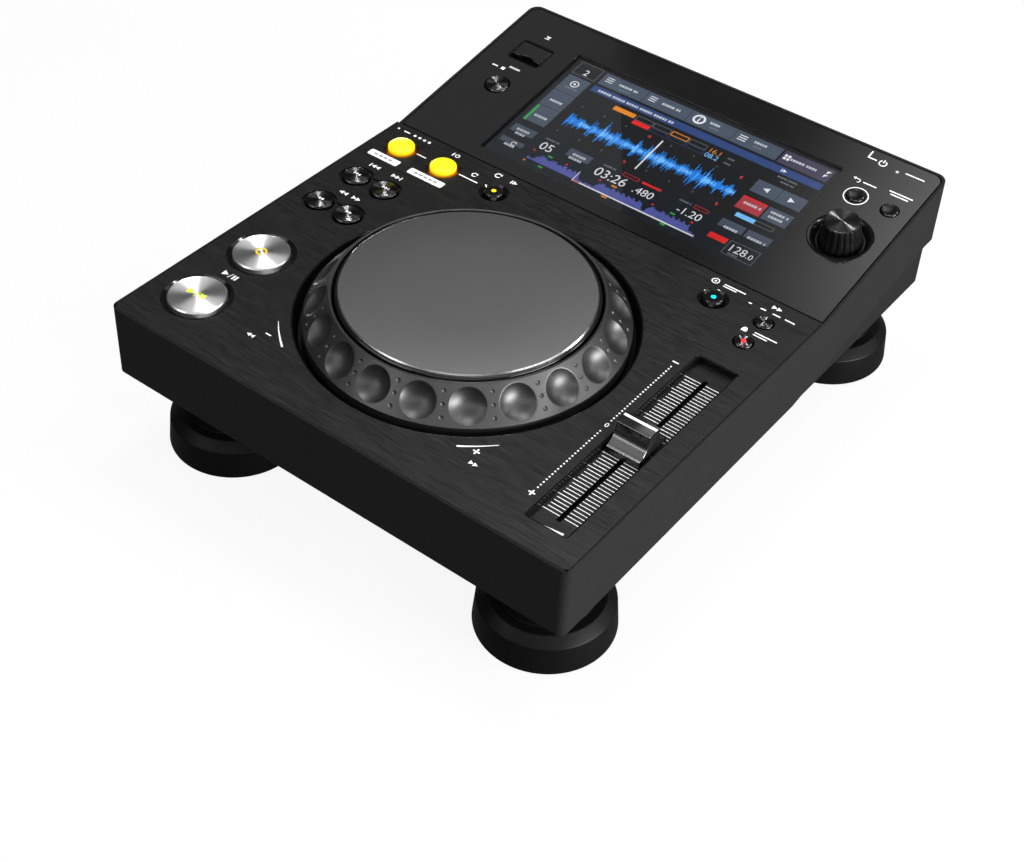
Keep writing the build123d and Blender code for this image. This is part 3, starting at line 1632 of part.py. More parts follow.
# Feet: broad puck with a chamfer, narrower neck and a screw bore
foot_x = half_w - foot_inset
foot_front_y = front_y + foot_front_d
foot_rear_y = rear_y - foot_rear_inset
feet = [
    ("foot_front_left", -foot_x, foot_front_y),
    ("foot_front_right", foot_x, foot_front_y),
    ("foot_rear_left", -foot_x, foot_rear_y),
    ("foot_rear_right", foot_x, foot_rear_y),
]
foot_places = [(x, y) for name, x, y in feet]
for name, x, y in feet:
    with BuildPart() as foot:
        with BuildSketch(deck_section(x, y)):
            with BuildLine():
                Polyline(
                    (foot_bore_r, pad_sink + pad_t),
                    (pad_r + fit, pad_sink + pad_t),
                    (pad_r + fit, pad_sink),
                    (foot_r - foot_edge, pad_sink),
                    (foot_r, pad_sink + foot_edge),
                    (foot_top_r, foot_wall_h),
                    (foot_top_r - foot_chamfer, foot_wall_h + foot_chamfer),
                    (foot_neck_r, foot_wall_h + foot_chamfer),
                    (foot_neck_r, base_z),
                    (screw_r + fit, base_z),
                    (screw_r + fit, base_z - foot_seat),
                    (foot_bore_r, base_z - foot_seat),
                    close=True,
                )
            make_face()
        revolve(axis=deck_axis(x, y))
    foot.part.label = name
    export_step(foot.part, f"parts/{name}.step")

# Rubber pads set into the feet
with BuildPart() as foot_pads:
    with BuildSketch(Plane.XY):
        with Locations(*foot_places):
            Circle(pad_r)
            Circle(foot_bore_r, mode=Mode.SUBTRACT)
    extrude(amount=pad_sink + pad_t)
foot_pads.part.label = "foot_pads"
export_step(foot_pads.part, "parts/foot_pads.step")

# Screws that hold the feet and close the case
with BuildPart() as case_screws:
    with BuildSketch(Plane.XY.offset(base_z - foot_seat - screw_head_t)):
        with Locations(*foot_places):
            Circle(screw_head_r)
    extrude(amount=screw_head_t)
    with BuildSketch(Plane.XY.offset(base_z - foot_seat)):
        with Locations(*foot_places):
            Circle(screw_r)
    extrude(amount=foot_seat + floor_t)
    with BuildSketch(Plane.XY.offset(base_z + boss_counter_h - screw_head_t)):
        with Locations(*boss_places):
            Circle(screw_head_r)
    extrude(amount=screw_head_t)
    with BuildSketch(Plane.XY.offset(base_z + boss_counter_h)):
        with Locations(*boss_places):
            Circle(screw_r)
    extrude(amount=screw_len)
case_screws.part.label = "case_screws"
export_step(case_screws.part, "parts/case_screws.step")
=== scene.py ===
"""Looks of a compact media player: jog wheel, fader, keys and a tilted touch display.

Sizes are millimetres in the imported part's frame: X to the right, Y to the back, Z up, floor at
Z = 0 and the origin in the middle of the outline. Meshes are written in metres.
"""

import json
import logging
import math
from dataclasses import dataclass
from enum import Enum

import bmesh
import bpy
import numpy as np
from mathutils import Matrix, Vector

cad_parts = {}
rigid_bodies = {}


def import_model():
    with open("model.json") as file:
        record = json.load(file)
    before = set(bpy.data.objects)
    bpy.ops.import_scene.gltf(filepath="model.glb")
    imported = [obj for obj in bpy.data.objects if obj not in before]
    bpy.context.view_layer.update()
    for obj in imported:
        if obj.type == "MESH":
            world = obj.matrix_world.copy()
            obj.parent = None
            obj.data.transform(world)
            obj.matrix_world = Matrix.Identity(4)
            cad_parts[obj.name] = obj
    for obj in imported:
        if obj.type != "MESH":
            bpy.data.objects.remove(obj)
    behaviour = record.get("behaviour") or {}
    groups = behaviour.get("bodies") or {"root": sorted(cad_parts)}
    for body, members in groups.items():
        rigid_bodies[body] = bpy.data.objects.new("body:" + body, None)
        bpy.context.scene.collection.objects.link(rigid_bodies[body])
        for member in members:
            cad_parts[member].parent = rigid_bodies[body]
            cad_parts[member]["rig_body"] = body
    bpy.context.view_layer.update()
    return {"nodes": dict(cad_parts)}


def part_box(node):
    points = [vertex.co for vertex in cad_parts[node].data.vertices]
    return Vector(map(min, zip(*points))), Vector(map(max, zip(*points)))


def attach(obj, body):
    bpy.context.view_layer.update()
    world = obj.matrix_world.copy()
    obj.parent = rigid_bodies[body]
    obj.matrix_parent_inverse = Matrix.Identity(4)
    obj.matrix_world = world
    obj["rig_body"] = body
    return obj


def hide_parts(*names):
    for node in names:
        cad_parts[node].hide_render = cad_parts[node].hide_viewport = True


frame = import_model()
LOG = logging.getLogger("player")
MM = 0.001
ACROSS = np.array([1.0, 0.0, 0.0])
Triple = tuple[float, float, float]
Colour = Triple
Pair = tuple[float, float]
Profile = tuple[Pair, ...]
Span = tuple[float, float, float, float]
Socket = bpy.types.NodeSocket
Piece = bpy.types.Object


def node_box(node: str) -> tuple[np.ndarray, np.ndarray]:
    """Lowest and highest corner of a CAD node, in millimetres."""
    low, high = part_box(node)
    return np.array(low) / MM, np.array(high) / MM


def middle_of(node: str) -> Triple:
    """Middle of a CAD node's box, in millimetres."""
    low, high = node_box(node)
    return tuple(float(v) for v in (low + high) / 2)


def half_of(node: str) -> Triple:
    """Half of a CAD node's size along X, Y and Z, in millimetres."""
    low, high = node_box(node)
    return tuple(float(v) for v in (high - low) / 2)


def grey(value: float) -> Colour:
    """A neutral colour of one linear value."""
    return (value, value, value)


def scaled(values: Triple, share: float) -> Triple:
    """A colour or a place with each of its values times a share."""
    return tuple(v * share for v in values)


@dataclass(frozen=True)
class Seat:
    """A flat place on the part: an origin, and a face tipped back about X by tilt degrees."""

    origin: Triple
    tilt: float = 0.0

    @property
    def up(self) -> np.ndarray:
        """Unit axis up the face."""
        turn = math.radians(self.tilt)
        return np.array([0.0, math.cos(turn), math.sin(turn)])

    @property
    def out(self) -> np.ndarray:
        """Unit axis out of the face."""
        turn = math.radians(self.tilt)
        return np.array([0.0, -math.sin(turn), math.cos(turn)])

    def at(self, a: np.ndarray, b: np.ndarray, h: np.ndarray) -> np.ndarray:
        """Points on the face: origin + a * across + b * up + h * out.

        Args:
            a: Distances across the face.
            b: Distances up the face.
            h: Heights out of the face.

        Returns:
            Points with a last axis of three.
        """
        a, b, h = np.broadcast_arrays(*(np.asarray(v, float) for v in (a, b, h)))
        spread = a[..., None] * ACROSS + b[..., None] * self.up + h[..., None] * self.out
        return np.array(self.origin) + spread

    def around(self, radius: np.ndarray, turn: np.ndarray, h: np.ndarray) -> np.ndarray:
        """Points at a radius and an angle in radians round the outward axis, h out of the face."""
        return self.at(radius * np.cos(turn), radius * np.sin(turn), h)

    def moved(self, a: float, b: float) -> "Seat":
        """The same face with its origin moved across and up it."""
        return Seat(tuple(float(v) for v in self.at(a, b, 0.0)), self.tilt)


FRONT = float(node_box("upper_case")[0][1])
DECK_TOP = float(node_box("deck_plate")[1][2])
DECK_DEPTH = 189.5
DECK_REAR = FRONT + DECK_DEPTH
DISPLAY_TILT = 10.0
DISPLAY_DROP = 1.4
GROUND = Seat((0.0, 0.0, 0.0))
DECK = Seat((0.0, FRONT, DECK_TOP))
DISPLAY = Seat((0.0, DECK_REAR, DECK_TOP - DISPLAY_DROP), DISPLAY_TILT)
PRINT_H = 0.03
SHARP_ANGLE = math.radians(32.0)
BEVEL_ANGLE = math.radians(40.0)
FLAT_ANGLE = math.radians(0.4)
WELD = 0.004
NODE_WELD = 0.001


def on_display(node: str) -> Seat:
    """Seat on the display's face, level with the middle of a CAD node."""
    middle = middle_of(node)
    way = np.array(middle) - np.array(DISPLAY.origin)
    return DISPLAY.moved(middle[0], float(way @ DISPLAY.up))


class Wire:
    """A shader value that takes part in Python sums; each operation adds a Math node."""

    def __init__(self, shader: "NodeTree", socket: Socket) -> None:
        """Holds a socket and the tree that its sums are added to."""
        self.shader = shader
        self.socket = socket

    def __add__(self, other: "Wire | float") -> "Wire":
        """Sum of two values."""
        return self.shader.calc("ADD", self, other)

    def __radd__(self, other: float) -> "Wire":
        """Sum with a plain number in front."""
        return self.shader.calc("ADD", other, self)

    def __sub__(self, other: "Wire | float") -> "Wire":
        """Difference of two values."""
        return self.shader.calc("SUBTRACT", self, other)

    def __rsub__(self, other: float) -> "Wire":
        """Difference with a plain number in front."""
        return self.shader.calc("SUBTRACT", other, self)

    def __mul__(self, other: "Wire | float") -> "Wire":
        """Product of two values."""
        return self.shader.calc("MULTIPLY", self, other)

    def __truediv__(self, other: "Wire | float") -> "Wire":
        """Quotient of two values."""
        return self.shader.calc("DIVIDE", self, other)

    def root(self) -> "Wire":
        """Square root."""
        return self.shader.calc("SQRT", self)

    def sine(self) -> "Wire":
        """Sine of an angle in radians."""
        return self.shader.calc("SINE", self)

    def step(self, low: float, high: float) -> "Wire":
        """Smooth rise 3 s^2 - 2 s^3, where s runs from 0 at low to 1 at high.

        Args:
            low: Value at which the rise starts.
            high: Value at which it ends.

        Returns:
            The rise, from 0 to 1.
        """
        sockets = {0: self, 1: low, 2: high, 3: 0.0, 4: 1.0}
        made = self.shader.node("MapRange", sockets, interpolation_type="SMOOTHSTEP")
        return Wire(self.shader, made.outputs[0])


class NodeTree:
    """A tree of nodes, with one way to add a node and one to add a sum."""

    def __init__(self, tree: bpy.types.NodeTree) -> None:
        """Holds the tree that nodes are added to."""
        self.tree = tree

    def _set(
        self, socket: Socket, value: "Wire | Socket | float | Colour"
    ) -> None:
        """Links a wire or a socket to an input, or writes a plain value into it.

        Args:
            socket: The input.
            value: What it takes.
        """
        if isinstance(value, Wire):
            value = value.socket
        if isinstance(value, Socket):
            self.tree.links.new(value, socket)
        elif socket.type == "RGBA":
            socket.default_value = (*value, 1.0)
        else:
            socket.default_value = value

    def node(self, kind: str, sockets: dict | None = None, **settings: str) -> bpy.types.Node:
        """Adds a node.

        Args:
            kind: Type of the node, without the first words that all types share.
            sockets: Input names or numbers, with values, wires or sockets.
            settings: Properties, which are set first.

        Returns:
            The new node.
        """
        made = self.tree.nodes.new(f"ShaderNode{kind}")
        for key, value in settings.items():
            setattr(made, key, value)
        for key, value in (sockets or {}).items():
            self._set(made.inputs[key], value)
        return made

    def calc(self, operation: str, *values: "Wire | float") -> Wire:
        """One Math node on wires and numbers."""
        made = self.node("Math", dict(enumerate(values)), operation=operation)
        return Wire(self, made.outputs[0])

    def vector(
        self, operation: str, *values: Socket | Triple, output: int | str = 0
    ) -> Socket:
        """One output of a Vector Math node on sockets and plain vectors."""
        made = self.node("VectorMath", dict(enumerate(values)), operation=operation)
        return made.outputs[output]

    def light_path(self, name: str) -> Wire:
        """One output of the light path, 1 for rays of that kind."""
        return Wire(self, self.node("LightPath").outputs[name])

    def mirrored(self) -> Wire:
        """1 for rays that come by way of a reflection or through glass."""
        return self.light_path("Is Glossy Ray") + self.light_path("Is Transmission Ray")


class Shader(NodeTree):
    """The nodes of one material: a Principled shader and what feeds it."""

    def __init__(self, name: str, **fixed: float | Colour) -> None:
        """Makes the material and sets the sockets that are the same all over.

        Args:
            name: Name of the material.
            fixed: Socket names, with underscores for spaces, and their values.
        """
        self.made = bpy.data.materials.new(name)
        self.made.use_nodes = True
        super().__init__(self.made.node_tree)
        self.skin = self.tree.nodes["Principled BSDF"]
        self.feed(**fixed)

    def feed(self, **sockets: Wire | Socket | float | Colour) -> None:
        """Sets or links inputs of the Principled shader, named with underscores for spaces."""
        for key, value in sockets.items():
            self._set(self.skin.inputs[key.replace("_", " ")], value)

    def spot(self) -> Socket:
        """Object coordinates, in metres."""
        return self.node("TexCoord").outputs["Object"]

    def reach(self, seat: Seat) -> tuple[Wire, Wire, Wire]:
        """Coordinates on a seat: the way from its origin, measured along each of its axes.

        Args:
            seat: Face that is measured on.

        Returns:
            Distances across, up and out of the face, in millimetres.
        """
        away = self.vector("SUBTRACT", self.spot(), scaled(seat.origin, MM))
        axes = (tuple(float(v) / MM for v in axis) for axis in (ACROSS, seat.up, seat.out))
        return tuple(Wire(self, self.vector("DOT_PRODUCT", away, axis, output="Value")) for axis in axes)

    def noise(self, grain: float | Triple, detail: float = 2.0) -> Wire:
        """Smooth noise from 0 to 1.

        Args:
            grain: Size of the noise, or its sizes along X, Y and Z, in millimetres.
            detail: Octaves of finer noise.

        Returns:
            The noise value.
        """
        scale = tuple(1.0 / (float(size) * MM) for size in np.broadcast_to(grain, 3))
        spread = self.vector("MULTIPLY", self.spot(), scale)
        made = self.node("TexNoise", {"Vector": spread, "Scale": 1.0, "Detail": detail})
        return Wire(self, made.outputs[0])

    def line_noise(self, place: Wire) -> Wire:
        """Smooth noise from 0 to 1 along one value."""
        sockets = {"W": place, "Scale": 1.0, "Detail": 1.0}
        return Wire(self, self.node("TexNoise", sockets, noise_dimensions="1D").outputs[0])

    def blend(
        self, share: Wire, first: Socket | Colour, second: Socket | Colour
    ) -> Socket:
        """Mix of two colours by a share from 0 to 1."""
        return self.node("Mix", {0: share, 6: first, 7: second}, data_type="RGBA").outputs[2]

    def bump(self, height: Wire, depth: float) -> None:
        """Feeds a height from 0 to 1, worth depth in millimetres, to the normal."""
        sockets = {"Height": height, "Distance": depth * MM, "Strength": 1.0}
        self.feed(Normal=self.node("Bump", sockets).outputs[0])

    def mixed(
        self, share: Wire | Socket | float, first: bpy.types.Node, second: bpy.types.Node
    ) -> bpy.types.Node:
        """Mix of two shaders by a share from 0 to 1."""
        return self.node("MixShader", {0: share, 1: first.outputs[0], 2: second.outputs[0]})

    def show(self, surface: bpy.types.Node) -> None:
        """Puts a shader on the material's surface."""
        self._set(self.tree.nodes["Material Output"].inputs["Surface"], surface.outputs[0])


@dataclass(frozen=True)
class Finish:
    """Base of every finish: its name, and one material made at first use."""

    name: str

    def material(self) -> bpy.types.Material:
        """The finish's material."""
        known = bpy.data.materials.get(self.name)
        return known or self.build().made

    def build(self) -> Shader:
        """Makes the material's nodes."""
        raise NotImplementedError


@dataclass(frozen=True)
class MouldedPlastic(Finish):
    """Moulded plastic with a fine spark texture and a little handling shine."""

    colour: Colour = grey(0.03)
    rough: float = 0.5
    specular: float = 0.3
    grain: float = 0.35
    depth: float = 0.02
    patch: float = 18.0
    dark: float = 0.78
    uneven: float = 0.12

    def build(self) -> Shader:
        """Fine noise bumps the surface; broad noise shifts colour and roughness a little."""
        shader = Shader(self.name, Specular_IOR_Level=self.specular)
        texture = shader.noise(self.grain, 1.0)
        cloud = shader.noise(self.patch, 3.0)
        share = cloud * 0.6 + texture * 0.3
        shader.feed(
            Base_Color=shader.blend(share, self.colour, scaled(self.colour, self.dark)),
            Roughness=self.rough + (cloud - 0.5) * self.uneven,
        )
        shader.bump(texture, self.depth)
        return shader


@dataclass(frozen=True)
class BrushedSheet(Finish):
    """Painted sheet with fine brushing from side to side."""

    colour: Colour = grey(0.02)
    rough: float = 0.36
    specular: float = 0.5
    length: float = 7.0
    line: float = 0.27
    light: float = 1.85
    dark: float = 0.32
    uneven: float = 0.36
    depth: float = 0.022

    def build(self) -> Shader:
        """Noise drawn out along X gives the lines; it moves colour, roughness and height."""
        shader = Shader(self.name, Specular_IOR_Level=self.specular)
        fine = shader.noise((self.length, self.line, self.line), 2.0)
        broad = shader.noise((self.length * 2.5, self.line * 3.5, self.line * 3.5), 1.0)
        lines = fine * 0.6 + broad * 0.4
        dark, light = scaled(self.colour, self.dark), scaled(self.colour, self.light)
        shader.feed(
            Base_Color=shader.blend(lines.step(0.36, 0.66), dark, light),
            Roughness=self.rough + (lines - 0.5) * self.uneven,
        )
        shader.bump(lines, self.depth)
        return shader


@dataclass(frozen=True)
class PolishedBlack(Finish):
    """Polished black plastic with faint wipe marks."""

    colour: Colour = grey(0.008)
    rough: float = 0.1
    specular: float = 0.5
    wipe: Triple = (40.0, 14.0, 14.0)
    dull: float = 0.05
    speck: float = 0.5
    dust: float = 0.008

    def build(self) -> Shader:
        """Broad noise dulls the polish in patches, fine noise adds dust."""
        shader = Shader(self.name, Specular_IOR_Level=self.specular)
        wipe = shader.noise(self.wipe, 3.0)
        speck = shader.noise(self.speck, 1.0)
        dusty = tuple(v + self.dust for v in self.colour)
        shader.feed(
            Base_Color=shader.blend(speck.step(0.66, 0.8), self.colour, dusty),
            Roughness=self.rough + wipe.step(0.4, 0.75) * self.dull,
        )
        return shader


@dataclass(frozen=True)
class SpunFace(Finish):
    """A face turned on a lathe: fine rings that draw a highlight out into two fans.

    The rings' flanks lean by groove, spread by noise, up to the radius of the face; tint darkens them.
    """

    seat: Seat = DECK
    colour: Colour = grey(0.5)
    rough: float = 0.25
    groove: float = 0.3
    spread: float = 0.2
    pitch: float = 0.16
    tint: float = 0.2
    face: float = 100.0
    face_edge: float = 0.2
    broad: float = 9.0

    def build(self) -> Shader:
        """Two mixed lobes stand for the inner and outer flanks of the rings.

        The slope of a flank is groove + (noise - 0.5) * spread, and it fades at the edge of the face. The
        tiny area in the radius keeps it above zero on the axis.
        """
        shader = Shader(self.name, Metallic=1.0)
        a, b, _ = shader.reach(self.seat)
        radius = (a * a + b * b + 0.0004).root()
        rings = shader.line_noise(radius / self.pitch)
        broad = shader.line_noise(radius / (self.pitch * self.broad))
        tinted = shader.blend(rings * 0.6 + broad * 0.3, scaled(self.colour, 1.0 - self.tint), self.colour)
        rough = self.rough + (broad - 0.5) * (0.25 * self.tint)
        shader.feed(Base_Color=tinted, Roughness=rough)
        if self.groove:
            kept = 1.0 - radius.step(self.face - self.face_edge, self.face)
            slope = (self.groove + (rings - 0.5) * self.spread) * kept
            lean_a, lean_b = a * slope / radius, b * slope / radius
            shader.feed(Normal=self._leaned(shader, lean_a, lean_b))
            inner = self._leaned(shader, lean_a * -1.0, lean_b * -1.0)
            sockets = {"Metallic": 1.0, "Base Color": tinted, "Roughness": rough, "Normal": inner}
            twin = shader.node("BsdfPrincipled", sockets)
            shader.show(shader.mixed(0.5, shader.skin, twin))
        return shader

    def _leaned(self, shader: Shader, lean_a: Wire, lean_b: Wire) -> Socket:
        """The surface's normal, tipped across and up the seat.

        Args:
            shader: Nodes of the material.
            lean_a: Slope across the seat.
            lean_b: Slope up the seat.

        Returns:
            The tipped normal.
        """
        across, up = (
            shader.node("VectorMath", {0: tuple(axis), "Scale": lean}, operation="SCALE")
            for axis, lean in ((ACROSS, lean_a), (self.seat.up, lean_b))
        )
        lean = {0: shader.vector("ADD", across.outputs[0], up.outputs[0])}
        turned = shader.node(
            "VectorTransform", lean, vector_type="VECTOR", convert_from="OBJECT", convert_to="WORLD"
        )
        normal = shader.node("NewGeometry").outputs["Normal"]
        return shader.vector("NORMALIZE", shader.vector("ADD", normal, turned.outputs[0]))


@dataclass(frozen=True)
class LitKey(Finish):
    """Translucent key lit from below: bright crown, with painted shade that deepens its colour towards its foot
    and its rim.
    """

    seat: Seat = DECK
    crown: Colour = (1.0, 0.9, 0.02)
    # edge and foot are darker colours that paint shade towards the key's rim and its foot
    edge: Colour = (0.92, 0.66, 0.0)
    foot: Colour = (0.42, 0.08, 0.0)
    foot_h: float = -1.4
    crown_h: float = 1.2
    glow: float = 0.88
    mottle: float = 2.2
    edge_area: float = 42.0
    rim_shade_share: float = 0.55
    unlit: float = 0.3

    def build(self) -> Shader:
        """The glow runs from the foot's colour to the crown's with height, with a soft mottle; the darker foot
        colour is painted shade on the key's lower sides.

        The edge's colour, a darker painted shade towards the rim, comes in with the square of the distance from
        the axis, over edge_area.
        """
        shader = Shader(self.name, Roughness=0.35, Specular_IOR_Level=0.3, Emission_Strength=self.glow)
        a, b, h = shader.reach(self.seat)
        mottle = shader.noise(self.mottle, 2.0)
        # Painted shade: base colour and glow both darken towards the foot and the rim
        rise = h.step(self.foot_h, self.crown_h) * (0.94 + mottle * 0.12)
        away = ((a * a + b * b) / self.edge_area).step(0.1, 1.1)
        glow = shader.blend(rise, self.foot, self.crown)
        shader.feed(
            Base_Color=shader.blend(rise, scaled(self.foot, self.unlit), scaled(self.crown, self.unlit)),
            Emission_Color=shader.blend(away * self.rim_shade_share * rise, glow, self.edge),
        )
        return shader


@dataclass(frozen=True)
class Ink(Finish):
    """Screen printed ink, slightly uneven; glow sets its emission, which is painted light on plain print and
    the lamp's own light on lit signs and lamps.
    """

    colour: Colour = grey(0.78)
    glow: float = 0.0
    speck: float = 0.3
    thin: float = 0.82

    def build(self) -> Shader:
        """Fine noise thins the ink in specks."""
        # Emission by glow: on plain white print this is painted light
        shader = Shader(self.name, Roughness=0.6, Specular_IOR_Level=0.2, Emission_Strength=self.glow)
        share = shader.noise(self.speck, 2.0).step(0.55, 0.75)
        ink = shader.blend(share, self.colour, scaled(self.colour, self.thin))
        shader.feed(Base_Color=ink, Emission_Color=ink)
        return shader


@dataclass(frozen=True)
class Pixels(Finish):
    """A lit patch of the panel, with its fine rows and a fall in light towards its lower edge."""

    colour: Colour = grey(0.5)
    fall: float = 0.25
    height: float = 100.0
    bright: float = 0.75
    unlit: float = 0.5
    row: float = 22.0
    patch: float = 6.0

    def build(self) -> Shader:
        """A sine up the screen draws the pixel rows; the light falls from top to bottom."""
        shader = Shader(self.name, Roughness=0.6, Specular_IOR_Level=0.0, Emission_Strength=self.bright)
        _, b, _ = shader.reach(DISPLAY)
        rows = (b * self.row).sine() * 0.02
        patch = shader.noise(self.patch, 1.0)
        level = b.step(0.0, self.height) * self.fall + (1.0 - self.fall) + rows + (patch - 0.5) * 0.06
        shader.feed(
            Base_Color=shader.blend(level, grey(0.0), scaled(self.colour, self.unlit)),
            Emission_Color=shader.blend(level, grey(0.0), self.colour),
        )
        return shader


@dataclass(frozen=True)
class ClearGlass(Finish):
    """Clear cover glass with faint finger marks."""

    tint: float = 0.97
    touch: Triple = (16.0, 11.0, 11.0)
    dull: float = 0.003

    def build(self) -> Shader:
        """Broad noise dulls the polish where fingers rest."""
        shader = Shader(self.name, Base_Color=grey(self.tint), IOR=1.47, Transmission_Weight=1.0)
        shader.feed(Roughness=shader.noise(self.touch, 3.0).step(0.6, 0.95) * self.dull)
        return shader


@dataclass(frozen=True)
class PlatedMetal(Finish):
    """Bright metal with fine handling marks."""

    colour: Colour = grey(0.6)
    rough: float = 0.28
    mark: float = 1.2
    dark: float = 0.7
    uneven: float = 0.25

    def build(self) -> Shader:
        """Noise varies the shine and tint."""
        shader = Shader(self.name, Metallic=1.0)
        mark = shader.noise(self.mark, 3.0)
        shader.feed(
            Base_Color=shader.blend(mark.step(0.35, 0.8), self.colour, scaled(self.colour, self.dark)),
            Roughness=self.rough + (mark - 0.5) * self.uneven,
        )
        return shader


@dataclass(frozen=True)
class CircuitBoard(Finish):
    """Solder masked board with copper tracks under the mask."""

    colour: Colour = (0.01, 0.06, 0.025)
    track: float = 2.4
    run: float = 26.0
    light: float = 1.9

    def build(self) -> Shader:
        """Tracks show where noise stretched along X or Y crosses its middle value."""
        shader = Shader(self.name, Roughness=0.35)
        across = shader.noise((self.run, self.track, self.track), 0.0)
        along = shader.noise((self.track, self.run, self.track), 0.0)
        first, second = (way.step(0.47, 0.5) * (1.0 - way.step(0.53, 0.56)) for way in (across, along))
        shader.feed(Base_Color=shader.blend(first + second, self.colour, scaled(self.colour, self.light)))
        return shader


CASE = MouldedPlastic("case_satin", grey(0.016), 0.5, 0.08)
LOWER = MouldedPlastic("case_under", grey(0.013), 0.55, 0.08)
DECK_SKIN = BrushedSheet("deck_brushed", grey(0.006), 0.36, 0.46)
COVER = PolishedBlack("cover_gloss", grey(0.005), 0.1, 1.0)
DISH = PolishedBlack("dish_gloss", grey(0.003), 0.09, 0.3)
BED = PolishedBlack("bed_satin", grey(0.003), 0.14, 0.2)
COLLAR = PolishedBlack("collar_gloss", grey(0.003), 0.12)
WHEEL = MouldedPlastic("wheel_satin", grey(0.004), 0.43, 0.85, 0.22, 0.004)
RIM = PolishedBlack("rim_gloss", grey(0.004), 0.14)
KNOB = MouldedPlastic("knob_black", grey(0.004), 0.22, 0.28, 0.4, 0.004)
CAP = PolishedBlack("fader_black", grey(0.006), 0.22, 1.0)
FOOT = MouldedPlastic("foot_black", grey(0.003), 0.45, 0.12, 0.5, 0.02)
RUBBER = MouldedPlastic("pad_rubber", grey(0.02), 0.8, 0.2, 0.6, 0.06)
INNER = MouldedPlastic("inner_dark", grey(0.02), 0.6, 0.3)
BLACK_KEY = PolishedBlack("key_gloss", grey(0.004), 0.12)
STEEL = PlatedMetal("steel_bright", grey(0.55), 0.3)
BRONZE = PlatedMetal("bush_bronze", (0.5, 0.3, 0.12), 0.35)
PLATING = PlatedMetal("jack_nickel", (0.62, 0.6, 0.56), 0.3)
CUT_EDGE = PlatedMetal("cut_edge", grey(0.7), 0.2)
GOLD = PlatedMetal("contact_gold", (0.8, 0.56, 0.2), 0.25)
BOARD = CircuitBoard("board_green")
# White print glows at emission 0.35: painted light, since print is no lamp
WHITE_INK_PAINTED_GLOW = Ink("ink_white_painted_glow", grey(0.8), 0.35)
GREY_INK = Ink("ink_grey", grey(0.3))
GLASS = ClearGlass("cover_glass")
PIPE = Ink("lamp_clear", grey(0.5), 0.05)


def offsets(r: float, h: float, steps: Profile) -> list[Pair]:
    """Points of a profile, given as steps outwards and upwards from one corner."""
    return [(r + out, h + up) for out, up in steps]


def softened(corners: list[Pair], reach: float, steps: int = 5) -> np.ndarray:
    """A profile whose inner corners are rounded.

    Each corner P between A and B, points on its two sides at the given reach (or 0.45 of the side
    where that is shorter), becomes the curve (1 - s)^2 A + 2 s (1 - s) P + s^2 B for s from 0 to 1.

    Args:
        corners: Points of the profile.
        reach: Distance from a corner at which its rounding starts.
        steps: Points on each rounded corner.

    Returns:
        Points of the rounded profile, as an array (n, 2).
    """
    points = np.array(corners, float)
    inner = points[1:-1]
    side = np.linalg.norm(np.diff(points, axis=0), axis=1)
    share = np.minimum(reach, 0.45 * side)[:, None]
    way = np.diff(points, axis=0) / side[:, None]
    start = inner - way[:-1] * share[:-1]
    end = inner + way[1:] * share[1:]
    s = np.linspace(0.0, 1.0, steps)[None, :, None]
    curve = (1 - s) ** 2 * start[:, None] + 2 * s * (1 - s) * inner[:, None] + s**2 * end[:, None]
    return np.concatenate([points[:1], curve.reshape(-1, 2), points[-1:]])


def rounded_box(x0: float, y0: float, x1: float, y1: float, radius: float = 0.0, steps: int = 5) -> np.ndarray:
    """Outline of a rectangle with quarter circles at its corners.

    Args:
        x0: Left edge.
        y0: Lower edge.
        x1: Right edge.
        y1: Upper edge.
        radius: Radius of the corners, or 0 for sharp ones.
        steps: Points on each corner.

    Returns:
        The outline, anticlockwise.
    """
    corners = np.array([(x0, y0), (x1, y0), (x1, y1), (x0, y1)])
    if radius <= 0.0:
        return corners
    turn = np.linspace(0.0, math.pi / 2, steps)[None, :] + np.arange(4)[:, None] * math.pi / 2 + math.pi
    inward = np.array([(1, 1), (-1, 1), (-1, -1), (1, -1)]) * radius
    ring = np.stack([np.cos(turn), np.sin(turn)], -1) * radius
    return ((corners + inward)[:, None] + ring).reshape(-1, 2)


def round_outline(x: float, y: float, radius: float, steps: int = 32) -> np.ndarray:
    """Outline of a disc, anticlockwise."""
    turn = np.linspace(0.0, math.tau, steps, endpoint=False)
    return np.stack([x + radius * np.cos(turn), y + radius * np.sin(turn)], -1)


def arc(x: float, y: float, radius: float, start: float, end: float, steps: int = 24) -> np.ndarray:
    """Points of an arc between two angles in degrees."""
    turn = np.radians(np.linspace(start, end, steps))
    return np.stack([x + radius * np.cos(turn), y + radius * np.sin(turn)], -1)


def stroke(path: np.ndarray, width: float, end_width: float | None = None) -> np.ndarray:
    """Outline of a line drawn along a path.

    The path is moved to each side by half of a width that runs evenly from width to end_width, along
    the normal of its local direction.

    Args:
        path: Points of the line, as an array (n, 2).
        width: Width at its start.
        end_width: Width at its end, or None for an even line.

    Returns:
        The outline, anticlockwise.
    """
    path = np.asarray(path, float)
    way = np.gradient(path, axis=0)
    way /= np.linalg.norm(way, axis=1)[:, None]
    half = 0.5 * np.linspace(width, width if end_width is None else end_width, len(path))[:, None]
    side = np.stack([-way[:, 1], way[:, 0]], -1) * half
    return np.concatenate([path - side, (path + side)[::-1]])


